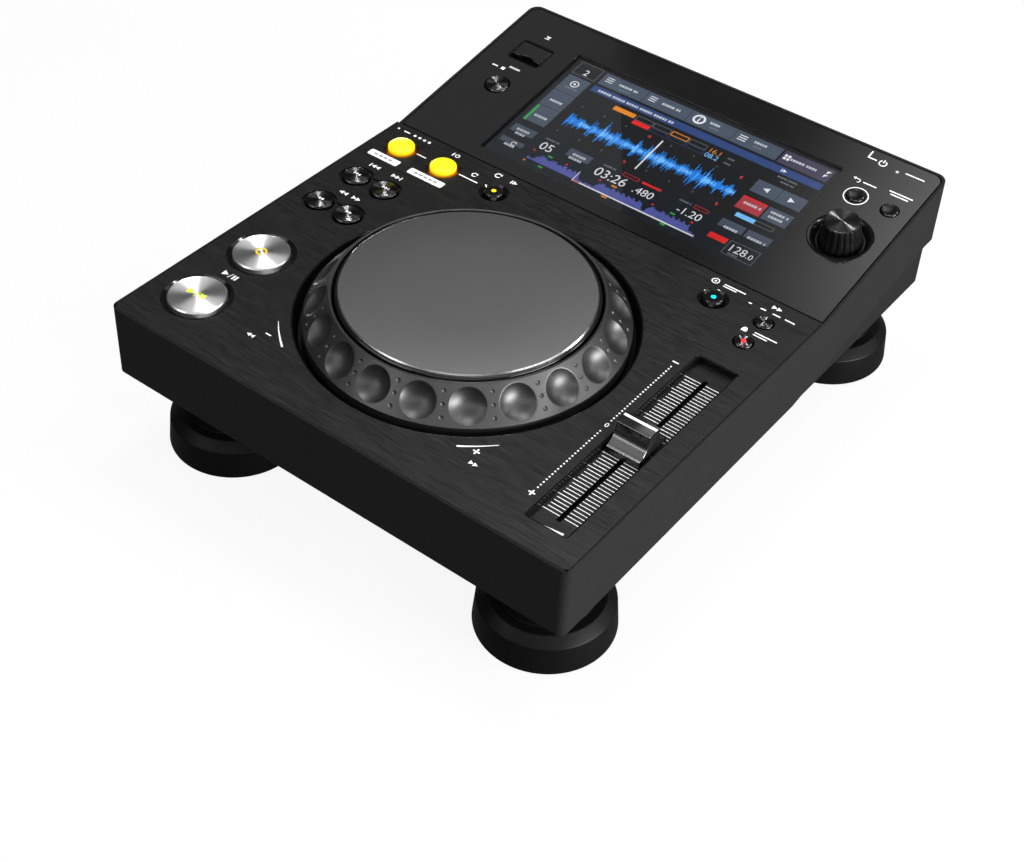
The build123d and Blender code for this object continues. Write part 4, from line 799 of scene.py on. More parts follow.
class Glyph(Enum):
    """Plain signs for keys and labels."""

    BACK = "back"
    FORWARD = "forward"
    SKIP_BACK = "skip back"
    SKIP_FORWARD = "skip forward"
    RUN_HOLD = "run and hold"
    RING = "ring"
    LOOP = "loop"
    DISC = "disc"
    LOCK = "lock"
    POWER = "power"
    RETURN = "return"
    STOP = "stop"
    INSERT = "insert"
    MARK = "mark"

    def outlines(self, x: float, y: float, size: float) -> list[np.ndarray]:
        """Outlines of the sign, drawn in units of half its size.

        Args:
            x: Place of its middle across the face.
            y: Place of its middle up the face.
            size: About its height.

        Returns:
            Closed outlines.
        """
        left = np.array([(-0.9, 0.0), (0.9, -1.0), (0.9, 1.0)])
        right = np.array([(-0.9, -1.0), (0.9, 0.0), (-0.9, 1.0)])
        slim = rounded_box(-0.22, -1.0, 0.22, 1.0)
        wide = slim * (1.3, 1.0)
        pen = 0.4
        halves = ((0, 180), (180, 360))
        shapes = {
            Glyph.BACK: [left + (-0.95, 0), left + (0.95, 0)],
            Glyph.FORWARD: [right + (-0.95, 0), right + (0.95, 0)],
            Glyph.SKIP_BACK: [slim + (-2.2, 0), left + (-0.8, 0), left + (1.1, 0)],
            Glyph.SKIP_FORWARD: [right + (-1.1, 0), right + (0.8, 0), slim + (2.2, 0)],
            Glyph.RUN_HOLD: [
                right * 1.1 + (-1.9, 0),
                stroke(np.array([(-0.4, -1.1), (0.3, 1.1)]), pen * 0.6),
                wide + (1.2, 0),
                wide + (2.2, 0),
            ],
            Glyph.RING: [stroke(arc(0, 0, 1.0, *half), pen) for half in halves],
            Glyph.LOOP: [
                stroke(arc(0, 0, 1.0, 60, 330), pen),
                np.array([(0.35, 0.55), (1.25, 0.2), (0.95, 1.25)]),
            ],
            Glyph.DISC: [
                *(stroke(arc(0, 0, 1.0, *half), pen * 0.7) for half in halves),
                round_outline(0, 0, 0.35, 16),
            ],
            Glyph.LOCK: [
                rounded_box(-0.8, -1.0, 0.8, 0.15, 0.2),
                stroke(arc(0, 0.15, 0.5, 0, 180), pen * 0.8),
            ],
            Glyph.POWER: [
                stroke(arc(0, -0.1, 0.9, 122, 418), pen * 0.75),
                rounded_box(-0.15, 0.1, 0.15, 1.15),
            ],
            Glyph.RETURN: [
                stroke(np.concatenate([[(-0.6, 0.5)], arc(0.5, -0.2, 0.7, 90, -90)]), pen * 0.7),
                np.array([(-1.5, 0.5), (-0.5, -0.1), (-0.5, 1.1)]),
            ],
            Glyph.STOP: [rounded_box(-0.75, -0.75, 0.75, 0.75)],
            Glyph.INSERT: [
                np.array([(-1.0, 0.6), (0.0, -0.5), (1.0, 0.6)]),
                rounded_box(-1.0, -1.0, 1.0, -0.7),
            ],
            Glyph.MARK: [slim, right + (1.6, 0)],
        }
        return [shape * (size / 2) + (x, y) for shape in shapes[self]]


def sign_outlines(signs: list[tuple[Glyph, float, float, float]]) -> list[np.ndarray]:
    """Outlines of several signs, each given with its place across, its place up and its size."""
    return [outline for sign, x, y, size in signs for outline in sign.outlines(x, y, size)]


class Shell:
    """Grids and plates gathered into one mesh."""

    def __init__(self) -> None:
        """Starts with no points and no faces."""
        self.points: list[np.ndarray] = []
        self.faces: list[list[int]] = []
        self.count = 0

    def _take(self, points: np.ndarray, faces: np.ndarray) -> "Shell":
        """Adds points and the faces that number them from zero."""
        self.faces.extend((faces + self.count).tolist())
        self.points.append(points.reshape(-1, 3))
        self.count += points.size // 3
        return self

    def grid(self, points: np.ndarray, wrap: bool = False) -> "Shell":
        """Adds a grid of points.

        Args:
            points: Array (rows, columns, 3); faces look along rows crossed with columns.
            wrap: True where the last column meets the first.

        Returns:
            This shell.
        """
        index = np.arange(points.shape[0] * points.shape[1]).reshape(points.shape[:2])
        right = np.roll(index, -1, axis=1) if wrap else index[:, 1:]
        left = index if wrap else index[:, :-1]
        quads = np.stack([left[:-1], left[1:], right[1:], right[:-1]], -1)
        return self._take(points, quads.reshape(-1, 4))

    def turned(self, profile: np.ndarray, seat: Seat, segments: int = 96) -> "Shell":
        """Adds a profile carried round a seat's outward axis.

        Args:
            profile: Points of (radius, height), from the top of the shape outwards.
            seat: Face that the shape stands on.
            segments: Steps round the axis.

        Returns:
            This shell.
        """
        turn = np.linspace(0.0, math.tau, segments, endpoint=False)[None, :]
        radius, height = np.asarray(profile, float).T[:, :, None]
        return self.grid(seat.around(radius, turn, height), wrap=True)

    def plate(self, outline: np.ndarray, seat: Seat, low: float, high: float) -> "Shell":
        """Adds a closed plate: an outline carried from one height to another.

        Args:
            outline: Points (n, 2), anticlockwise.
            seat: Face that the plate lies on.
            low: Height of its underside.
            high: Height of its top.

        Returns:
            This shell.
        """
        count = len(outline)
        base = seat.at(outline[:, 0], outline[:, 1], low)
        top = seat.at(outline[:, 0], outline[:, 1], high)
        index = np.arange(count)
        after = np.roll(index, -1)
        sides = np.stack([index, after, after + count, index + count], -1)
        self.faces.append((index[::-1] + self.count).tolist())
        self.faces.append((index + count + self.count).tolist())
        return self._take(np.concatenate([base, top]), sides)

    def plates(self, outlines: list[np.ndarray], seat: Seat, low: float, high: float) -> "Shell":
        """Adds a closed plate for each outline."""
        for outline in outlines:
            self.plate(outline, seat, low, high)
        return self

    def bars(self, spans: np.ndarray, seat: Seat, low: float, high: float) -> "Shell":
        """Adds closed bars.

        Args:
            spans: Array (n, 4) of left, lower, right and upper edges.
            seat: Face that the bars lie on.
            low: Height of their undersides.
            high: Height of their tops.

        Returns:
            This shell.
        """
        spans = np.asarray(spans, float)
        a = spans[:, [0, 2, 2, 0]]
        b = spans[:, [1, 1, 3, 3]]
        points = np.concatenate([seat.at(a, b, low), seat.at(a, b, high)], axis=1)
        walls = [(side, (side + 1) % 4, (side + 1) % 4 + 4, side + 4) for side in range(4)]
        cube = np.array([(3, 2, 1, 0), (4, 5, 6, 7), *walls])
        faces = cube[None] + 8 * np.arange(len(spans))[:, None, None]
        return self._take(points, faces.reshape(-1, 4))

    def figures(self, text: str, seat: Seat, size: float, h: float) -> "Shell":
        """Adds plain figures as flat faces, with the middle of their foot on the seat's origin.

        Args:
            text: Digits and signs.
            seat: Face, with its origin where the figures stand.
            size: Height of the figures' square.
            h: Height over the face.

        Returns:
            This shell.
        """
        curve = bpy.data.curves.new("figures", "FONT")
        curve.body = text
        curve.align_x = "CENTER"
        curve.size = size
        curve.fill_mode = "FRONT"
        holder = bpy.data.objects.new("figures", curve)
        mesh = bpy.data.meshes.new_from_object(holder)
        flat = points_of(mesh)
        self.faces.extend([[i + self.count for i in face.vertices] for face in mesh.polygons])
        self.points.append(seat.at(flat[:, 0], flat[:, 1], h))
        self.count += len(flat)
        bpy.data.objects.remove(holder)
        bpy.data.curves.remove(curve)
        bpy.data.meshes.remove(mesh)
        return self

    def build(
        self, name: str, finish: Finish, node: str, replaces: bool = False, merge: bool = True
    ) -> Piece:
        """Makes the piece.

        Args:
            name: Name of the piece.
            finish: What it is dressed in.
            node: CAD node whose body it rides on.
            replaces: True where it stands for that node.
            merge: True where points that meet are joined, which closes seams and poles.

        Returns:
            The new object.
        """
        mesh = bpy.data.meshes.new(name)
        mesh.from_pydata((np.concatenate(self.points) * MM).tolist(), [], self.faces)
        if merge:
            work = bmesh.new()
            work.from_mesh(mesh)
            bmesh.ops.remove_doubles(work, verts=work.verts, dist=WELD * MM)
            work.to_mesh(mesh)
            work.free()
        return settle(mesh, name, finish, node, replaces)


def points_of(mesh: bpy.types.Mesh) -> np.ndarray:
    """Points of a mesh, as an array (n, 3)."""
    flat = np.zeros(len(mesh.vertices) * 3)
    mesh.vertices.foreach_get("co", flat)
    return flat.reshape(-1, 3)


def settle(mesh: bpy.types.Mesh, name: str, finish: Finish, node: str, replaces: bool) -> Piece:
    """Dresses a mesh, links it and ties it to the part.

    Args:
        mesh: Finished mesh, in metres.
        name: Name of the piece.
        finish: What it is dressed in.
        node: CAD node whose body it rides on.
        replaces: True where it stands for that node.

    Returns:
        The new object.
    """
    mesh.polygons.foreach_set("use_smooth", np.ones(len(mesh.polygons), bool))
    mesh.set_sharp_from_angle(angle=SHARP_ANGLE)
    mesh.materials.clear()
    mesh.materials.append(finish.material())
    piece = bpy.data.objects.new(name, mesh)
    bpy.context.scene.collection.objects.link(piece)
    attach(piece, frame["nodes"][node]["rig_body"])
    if replaces:
        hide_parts(node)
    LOG.info("%s: %d faces", name, len(mesh.polygons))
    return piece


def lay_bars(
    name: str, finish: Finish, node: str, seat: Seat, spans: list[Span] | np.ndarray, low: float, high: float
) -> Piece:
    """Makes a piece of closed bars, for print, contacts and lit rectangles.

    Args:
        name: Name of the piece.
        finish: What it is dressed in.
        node: CAD node whose body it rides on.
        seat: Face that the bars lie on.
        spans: Left, lower, right and upper edges of each bar.
        low: Height of their undersides.
        high: Height of their tops.

    Returns:
        The new object.
    """
    return Shell().bars(spans, seat, low, high).build(name, finish, node, merge=False)


def dress(finish: Finish, *nodes: str) -> None:
    """Gives CAD nodes a finish in place of their plain colour.

    Args:
        finish: What they are dressed in.
        nodes: Names of the nodes.
    """
    for node in nodes:
        mesh = frame["nodes"][node].data
        mesh.materials.clear()
        mesh.materials.append(finish.material())
        LOG.info("%s: %s", node, finish.name)


def draw_in(mesh: bpy.types.Mesh, seat: Seat, seam: float, band: float = 6.0) -> None:
    """Draws a plate's outer edge in by a seam's width.

    Points within a band of the outline move towards the middle by seam * (distance from the middle /
    half size), across and up the plate's own plane.

    Args:
        mesh: Mesh of the plate, in metres.
        seat: Plane of the plate.
        seam: Width of the seam, in millimetres.
        band: Width of the edge that moves, in millimetres.
    """
    points = points_of(mesh)
    axes = np.stack([ACROSS, seat.up])
    place = points @ axes.T
    low, high = place.min(axis=0), place.max(axis=0)
    half = (high - low) / 2
    away = place - (low + high) / 2
    near = np.any(np.abs(away) > half - band * MM, axis=1)
    points[near] -= (away / half * seam * MM)[near] @ axes
    mesh.vertices.foreach_set("co", points.ravel())


def eased(
    node: str, finish: Finish, width: float, segments: int = 2, seam: float = 0.0, seat: Seat = DECK
) -> Piece:
    """A copy of a CAD node with smooth walls and its sharp edges eased by a narrow bevel.

    Args:
        node: CAD node that the copy stands for.
        finish: What it is dressed in.
        width: Width of the bevel.
        segments: Facets across the bevel.
        seam: Distance by which the outer edge is drawn in, so that a dark seam shows round it.
        seat: Plane in which it is drawn in.

    Returns:
        The new object.
    """
    mesh = frame["nodes"][node].data.copy()
    if seam:
        draw_in(mesh, seat, seam)
    work = bmesh.new()
    work.from_mesh(mesh)
    bmesh.ops.remove_doubles(work, verts=work.verts, dist=NODE_WELD * MM)
    bmesh.ops.dissolve_limit(work, angle_limit=FLAT_ANGLE, verts=work.verts, edges=work.edges)
    work.to_mesh(mesh)
    work.free()
    piece = settle(mesh, f"{node}_dressed", finish, node, True)
    bevel = piece.modifiers.new("ease", "BEVEL")
    bevel.limit_method = "ANGLE"
    bevel.angle_limit = BEVEL_ANGLE
    bevel.width = width * MM
    bevel.segments = segments
    piece.modifiers.new("flats", "WEIGHTED_NORMAL").keep_sharp = True
    return piece


@dataclass
class Case:
    """Upper and lower moulding, deck skin and display cover."""

    edge: float = 0.35
    edge_facets: int = 3
    skin_edge: float = 0.2
    skin_seam: float = 0.12
    cover_edge: float = 0.35
    cover_seam: float = 0.55
    well_edge: float = 0.4

    def build(self) -> None:
        """Eases the edges of the mouldings and sheets."""
        eased("upper_case", CASE, self.edge, self.edge_facets)
        eased("lower_case", LOWER, self.edge)
        eased("deck_plate", DECK_SKIN, self.skin_edge, seam=self.skin_seam)
        eased("display_plate", COVER, self.cover_edge, seam=self.cover_seam, seat=DISPLAY)
        eased("usb_well", DISH, self.well_edge)
        eased("usb_door", COVER, self.skin_edge)


@dataclass
class JogWheel:
    """Dimpled wheel, its spun top plate, black rim and the polished dish round it.

    The lip's ease, the skirt and the two parts of the rim are steps outwards and upwards from a corner; the
    dish is a list of radius and height.
    """

    count: int = 20
    lip_r: float = 59.6
    in_r: float = 58.4
    out_r: float = 71.3
    slope_low: float = 0.4
    slope_high: float = 14.2
    lip_foot: float = 6.0
    lip_ease: Profile = ((0.0, -0.3), (0.12, -0.08), (0.3, 0.0))
    skirt: Profile = ((0.0, -0.3), (0.0, -4.4), (-0.2, -4.6), (-3.0, -4.6), (-3.0, -0.4))
    dimple_r: float = 7.8
    ball_r: float = 11.0
    dimple_at: float = 9.0
    dimple_cuts: tuple[int, int] = (16, 24)
    hollow_rows: int = 12
    flat_rows: tuple[float, ...] = (0.04, 0.1, 0.25, 0.5, 0.75, 1.0)
    rim_ease: float = 0.02
    pips: int = 3
    pip_r: float = 1.0
    pip_ball_r: float = 1.15
    pip_half: float = 2.0
    pip_drift: float = 0.6
    pip_cuts: tuple[int, int] = (4, 8)
    phase: float = 2.5
    top: float = 15.4
    plate_t: float = 1.5
    plate_edge: float = 0.5
    plate_round: float = 0.08
    cut_lift: float = 0.01
    cut_in: float = 0.1
    cut_low: float = 0.2
    inner_rim: Profile = ((-1.0, -1.0), (0.05, -0.9), (0.5, -0.75))
    outer_rim: Profile = ((-0.25, -1.25), (0.0, -1.7))
    rim_foot: float = 5.2
    rim_wall: float = 2.7
    rim_round: float = 0.25
    dish: Profile = (
        (10.0, -2.5), (15.0, -2.5), (15.0, -6.5), (73.2, -6.5), (75.0, -0.35), (75.2, -0.2), (75.6, -0.2),
        (75.6, -3.2), (79.5, -3.2), (79.5, -4.7), (74.7, -4.7), (74.7, -8.7), (15.0, -8.7),
    )
    dish_round: float = 0.3

    def __post_init__(self) -> None:
        """Finds the wheel's axis and the length of its slope."""
        self.seat = Seat((0.0, middle_of("jog_ring")[1], DECK_TOP))
        self.slant = math.hypot(self.out_r - self.lip_r, self.slope_high - self.slope_low)

    def cone(self, turn: np.ndarray, s: np.ndarray, sink: np.ndarray) -> np.ndarray:
        """Points on the wheel's slope.

        At s down the slant the radius is lip_r + s * run / slant and the height slope_high - s * fall /
        slant, both moved inwards by sink along the slope's normal.

        Args:
            turn: Angle round the axis, in radians.
            s: Distance down the slant.
            sink: Depth under the slope.

        Returns:
            Points with a last axis of three.
        """
        run = (self.out_r - self.lip_r) / self.slant
        fall = (self.slope_high - self.slope_low) / self.slant
        radius = self.lip_r + s * run - sink * fall
        height = self.slope_high - s * fall - sink * run
        return self.seat.around(radius, turn, height)

    def cell(self, turn: Pair, s: Pair, cuts: tuple[int, int], pit: Triple) -> np.ndarray:
        """One patch of the slope with a round hollow in its middle.

        Rays run from the hollow's middle to points on the patch's edge. Along each ray q goes from 0 to 1
        at the hollow's rim and on to 2 at the edge. With f = sqrt(ball^2 - rho^2) - lift at the distance
        rho from the middle, the depth is (f + sqrt(f^2 + ease^2)) / 2, a ball's surface with an eased rim.

        Args:
            turn: Angles of the patch's two sides, in radians.
            s: Slant distances of its upper and lower edge.
            cuts: Steps along the upper edge and down a side.
            pit: Opening radius, ball radius and slant distance of the hollow's middle.

        Returns:
            Points as an array (rows, columns, 3), for a grid that wraps.
        """
        opening, ball, middle_s = pit
        across = np.linspace(*turn, cuts[0] + 1)
        down = np.linspace(*s, cuts[1] + 1)
        edge_turn = np.concatenate([
            across[:-1], np.full(cuts[1], turn[1]), across[:0:-1], np.full(cuts[1], turn[0]),
        ])
        edge_s = np.concatenate([
            np.full(cuts[0], s[0]), down[:-1], np.full(cuts[0], s[1]), down[:0:-1],
        ])
        middle = (turn[0] + turn[1]) / 2
        middle_r = self.lip_r + middle_s * (self.out_r - self.lip_r) / self.slant
        edge_a = (edge_turn - middle) * middle_r
        edge_b = edge_s - middle_s
        away = np.hypot(edge_a, edge_b)
        inner = np.sin(np.linspace(0.0, math.pi / 2, self.hollow_rows))
        outer = 1.0 + np.array(self.flat_rows)
        q = np.concatenate([inner, outer])[:, None]
        rim = opening / away
        share = np.where(q <= 1.0, q * opening / away, rim + (q - 1.0) * (1.0 - rim))
        a = share * edge_a
        b = share * edge_b
        rho = np.hypot(a, b)
        lift = math.sqrt(ball**2 - opening**2)
        ease = self.rim_ease * opening
        f = np.sqrt(np.maximum(ball**2 - rho**2, 0.0)) - lift
        sink = np.where(q >= 2.0, 0.0, (f + np.sqrt(f**2 + ease**2)) / 2)
        return self.cone(middle + a / middle_r, middle_s + b, sink)[:, ::-1]

    def ring(self) -> Piece:
        """The wheel: a patch for each finger hollow, small pips between, lip above and skirt below.

        Returns:
            The new object.
        """
        shell = Shell()
        pitch = math.tau / self.count
        half = self.pip_half / (self.lip_r + self.out_r) * 2
        dimple = (self.dimple_r, self.ball_r, self.dimple_at)
        edges = []
        for number in range(self.count):
            middle = math.radians(self.phase) + pitch * number
            patch = (middle - pitch / 2 + half / 2, middle + pitch / 2 - half / 2)
            gate = (patch[1], middle + pitch / 2 + half / 2)
            shell.grid(self.cell(patch, (0.0, self.slant), self.dimple_cuts, dimple), wrap=True)
            for step in range(self.pips):
                span = (self.slant * step / self.pips, self.slant * (step + 1) / self.pips)
                pip = (self.pip_r, self.pip_ball_r, (span[0] + span[1]) / 2 + (1 - step) * self.pip_drift)
                shell.grid(self.cell(gate, span, self.pip_cuts, pip), wrap=True)
            edges.append(np.linspace(*patch, self.dimple_cuts[0] + 1)[:-1])
            edges.append(np.linspace(*gate, self.pip_cuts[0] + 1)[:-1])
        turn = np.concatenate(edges)[None, :]
        lip = [(self.in_r, self.lip_foot), *offsets(self.in_r, self.slope_high, self.lip_ease)]
        lip.append((self.lip_r, self.slope_high))
        skirt = [(self.out_r, self.slope_low), *offsets(self.out_r, 0.0, self.skirt)]
        for profile in (lip, skirt):
            radius, height = np.array(profile).T[:, :, None]
            shell.grid(self.seat.around(radius, turn, height), wrap=True)
        return shell.build("wheel_ring", WHEEL, "jog_ring", True)

    def platter(self) -> None:
        """The spun plate, its bright cut edge and the rim that carries it."""
        top, edge = self.top, self.plate_edge
        radius = float(node_box("jog_platter")[1][0])
        low = top - self.plate_t
        flat, wall = radius - edge, radius + self.cut_lift
        high = top + self.cut_lift
        plate = [(0, top), (radius * 0.5, top), (flat, top), (radius, top - edge), (radius, low), (0, low)]
        spun = SpunFace("platter_spun", self.seat, grey(0.22), 0.42, groove=0.0, pitch=0.5, tint=0.08)
        Shell().turned(softened(plate, self.plate_round), self.seat, 160).build(
            "platter_plate", spun, "jog_platter", True)
        cut = [(flat - self.cut_in, high), (flat, high), (wall, top - edge), (wall, top - edge - self.cut_low)]
        Shell().turned(cut, self.seat, 160).build("platter_cut", CUT_EDGE, "jog_platter")
        rim_r = float(node_box("platter_rim")[1][0])
        rim = offsets(radius, top, self.inner_rim) + offsets(rim_r, top, self.outer_rim)
        rim += [(rim_r, self.rim_foot), (rim_r - self.rim_wall, self.rim_foot)]
        Shell().turned(softened(rim, self.rim_round), self.seat, 160).build(
            "platter_edge", RIM, "platter_rim", True)

    def build(self) -> None:
        """Makes the wheel, the spun plate, the rim and the dish."""
        self.ring()
        self.platter()
        dish = softened(self.dish, self.dish_round)
        Shell().turned(dish, self.seat, 200).build("wheel_dish", DISH, "jog_well", True)
        dress(STEEL, "jog_spindle")
        dress(BRONZE, "jog_bushing")


class KeyKind(Enum):
    """How a key is made."""

    SPUN = "spun metal"
    TURNED = "black and turned"
    LIT = "lit yellow"
    PLAIN = "black and polished"


@dataclass(frozen=True)
class KeyPlan:
    """One key: its CAD node and kind, the rise of its crown, and the sign and lamp on it.

    The cap is slimmer than its node by slim all round, and stands higher by lift.
    """

    node: str
    kind: KeyKind
    crown: float = 0.0
    sign: Glyph | None = None
    sign_size: float = 2.0
    ink: Finish = WHITE_INK_PAINTED_GLOW
    lamp: Colour | None = None
    slim: float = 0.0
    lift: float = 0.0


@dataclass
class Keys:
    """Push keys of the deck and the display, with their collars."""

    flange: float = 1.5
    flange_top: float = -4.7
    flange_foot: float = -6.0
    stem_foot: float = -4.6
    stem_hole: Pair = (2.0, -6.2)
    edge: float = 0.6
    edge_lead: float = 0.1
    corner: float = 0.22
    crown_rows: int = 14
    display_rise: float = 0.8
    sign_sunk: float = 0.25
    sign_shift: float = 0.9
    lamp_dome: Profile = ((0.0, 0.2), (1.0, 0.15))
    lamp_foot: Profile = ((1.25, -0.1),)
    lamp_round: float = 0.2
    collar_edge: float = 0.12
    plans: tuple[KeyPlan, ...] = (
        KeyPlan("play_button", KeyKind.SPUN, 0.0, Glyph.RUN_HOLD, 3.4, Ink("ink_lime", (0.62, 0.85, 0.0), 0.5)),
        KeyPlan("cue_button", KeyKind.SPUN, 0.0, Glyph.RING, 4.4, Ink("ink_amber", (0.85, 0.5, 0.0), 0.45)),
        KeyPlan("search_back_button", KeyKind.TURNED, 0.0, Glyph.BACK, 1.7),
        KeyPlan("search_forward_button", KeyKind.TURNED, 0.0, Glyph.FORWARD, 1.7),
        KeyPlan("track_back_button", KeyKind.TURNED, 0.0, Glyph.SKIP_BACK, 1.7),
        KeyPlan("track_forward_button", KeyKind.TURNED, 0.0, Glyph.SKIP_FORWARD, 1.7),
        KeyPlan("loop_in_button", KeyKind.LIT, 1.1, slim=0.6, lift=0.9),
        KeyPlan("loop_out_button", KeyKind.LIT, 1.1, slim=0.6, lift=0.9),
        KeyPlan("reloop_button", KeyKind.PLAIN, lamp=(1.0, 0.62, 0.0)),
        KeyPlan("jog_mode_button", KeyKind.PLAIN, lamp=(0.0, 0.75, 0.9)),
        KeyPlan("tempo_range_button", KeyKind.TURNED),
        KeyPlan("key_lock_button", KeyKind.TURNED, lamp=(0.75, 0.02, 0.03)),
        KeyPlan("usb_stop_button", KeyKind.TURNED),
        KeyPlan("back_button", KeyKind.PLAIN, -0.5, lift=-0.5),
        KeyPlan("tag_button", KeyKind.PLAIN, -0.5, lift=-0.5),
    )

    def seat_of(self, node: str) -> tuple[Seat, float, float]:
        """Where a key stands.

        Args:
            node: CAD node of the key.

        Returns:
            Seat on the key's axis at the face it stands in, its cap's radius and its height over that face.
        """
        x, y, _ = middle_of(node)
        radius = half_of(node)[0] - self.flange
        if y < DECK_REAR:
            return Seat((x, y, DECK_TOP)), radius, float(node_box(node)[1][2]) - DECK_TOP
        return on_display(node), radius, self.display_rise

    def cap(self, plan: KeyPlan) -> None:
        """Makes a key: a crowned cap over a flange and stem, turned round its axis, with its sign and lamp.

        The crown's height at radius r is top - crown * (r / radius)^2.

        Args:
            plan: The key.
        """
        seat, radius, top = self.seat_of(plan.node)
        radius -= plan.slim
        top += plan.lift
        flat, wide = radius - self.edge, radius + self.flange
        r = np.linspace(0.0, flat, self.crown_rows)
        crown = np.stack([r, top - plan.crown * (r / radius) ** 2], -1)
        shoulder = top - plan.crown
        side = softened([
            (flat - self.edge_lead, shoulder), (flat, shoulder), (radius, shoulder - self.edge),
            (radius, self.stem_foot), (wide, self.flange_top), (wide, self.flange_foot), self.stem_hole,
        ], self.corner)
        finish = {
            KeyKind.SPUN: SpunFace(
                f"{plan.node}_spun", seat, grey(0.85), 0.3, groove=0.41, spread=0.3, pitch=0.16, face=flat),
            KeyKind.TURNED: SpunFace(
                f"{plan.node}_turned", seat, grey(0.07), 0.2, groove=0.41, spread=0.12, pitch=0.12, face=flat),
            KeyKind.LIT: LitKey(f"{plan.node}_lit", seat),
            KeyKind.PLAIN: BLACK_KEY,
        }[plan.kind]
        profile = np.concatenate([crown[:-1], side])
        Shell().turned(profile, seat, 72).build(f"{plan.node}_cap", finish, plan.node, True)
        over = top + PRINT_H
        if plan.sign:
            shift = 0.0 if plan.kind is KeyKind.SPUN else self.sign_shift
            outlines = plan.sign.outlines(0.0, shift, plan.sign_size)
            Shell().plates(outlines, seat, top - self.sign_sunk, over).build(
                f"{plan.node}_sign", plan.ink, plan.node)
        if plan.lamp:
            dome = offsets(0.0, over, self.lamp_dome) + offsets(0.0, top, self.lamp_foot)
            lamp = Ink(f"{plan.node}_glow", plan.lamp, 1.0)
            Shell().turned(softened(dome, self.lamp_round), seat, 32).build(
                f"{plan.node}_lamp", lamp, plan.node)

    def build(self) -> None:
        """Makes each key and eases the collars."""
        for plan in self.plans:
            self.cap(plan)
        eased("left_bezel", COLLAR, self.collar_edge)
        eased("right_bezel", COLLAR, self.collar_edge)


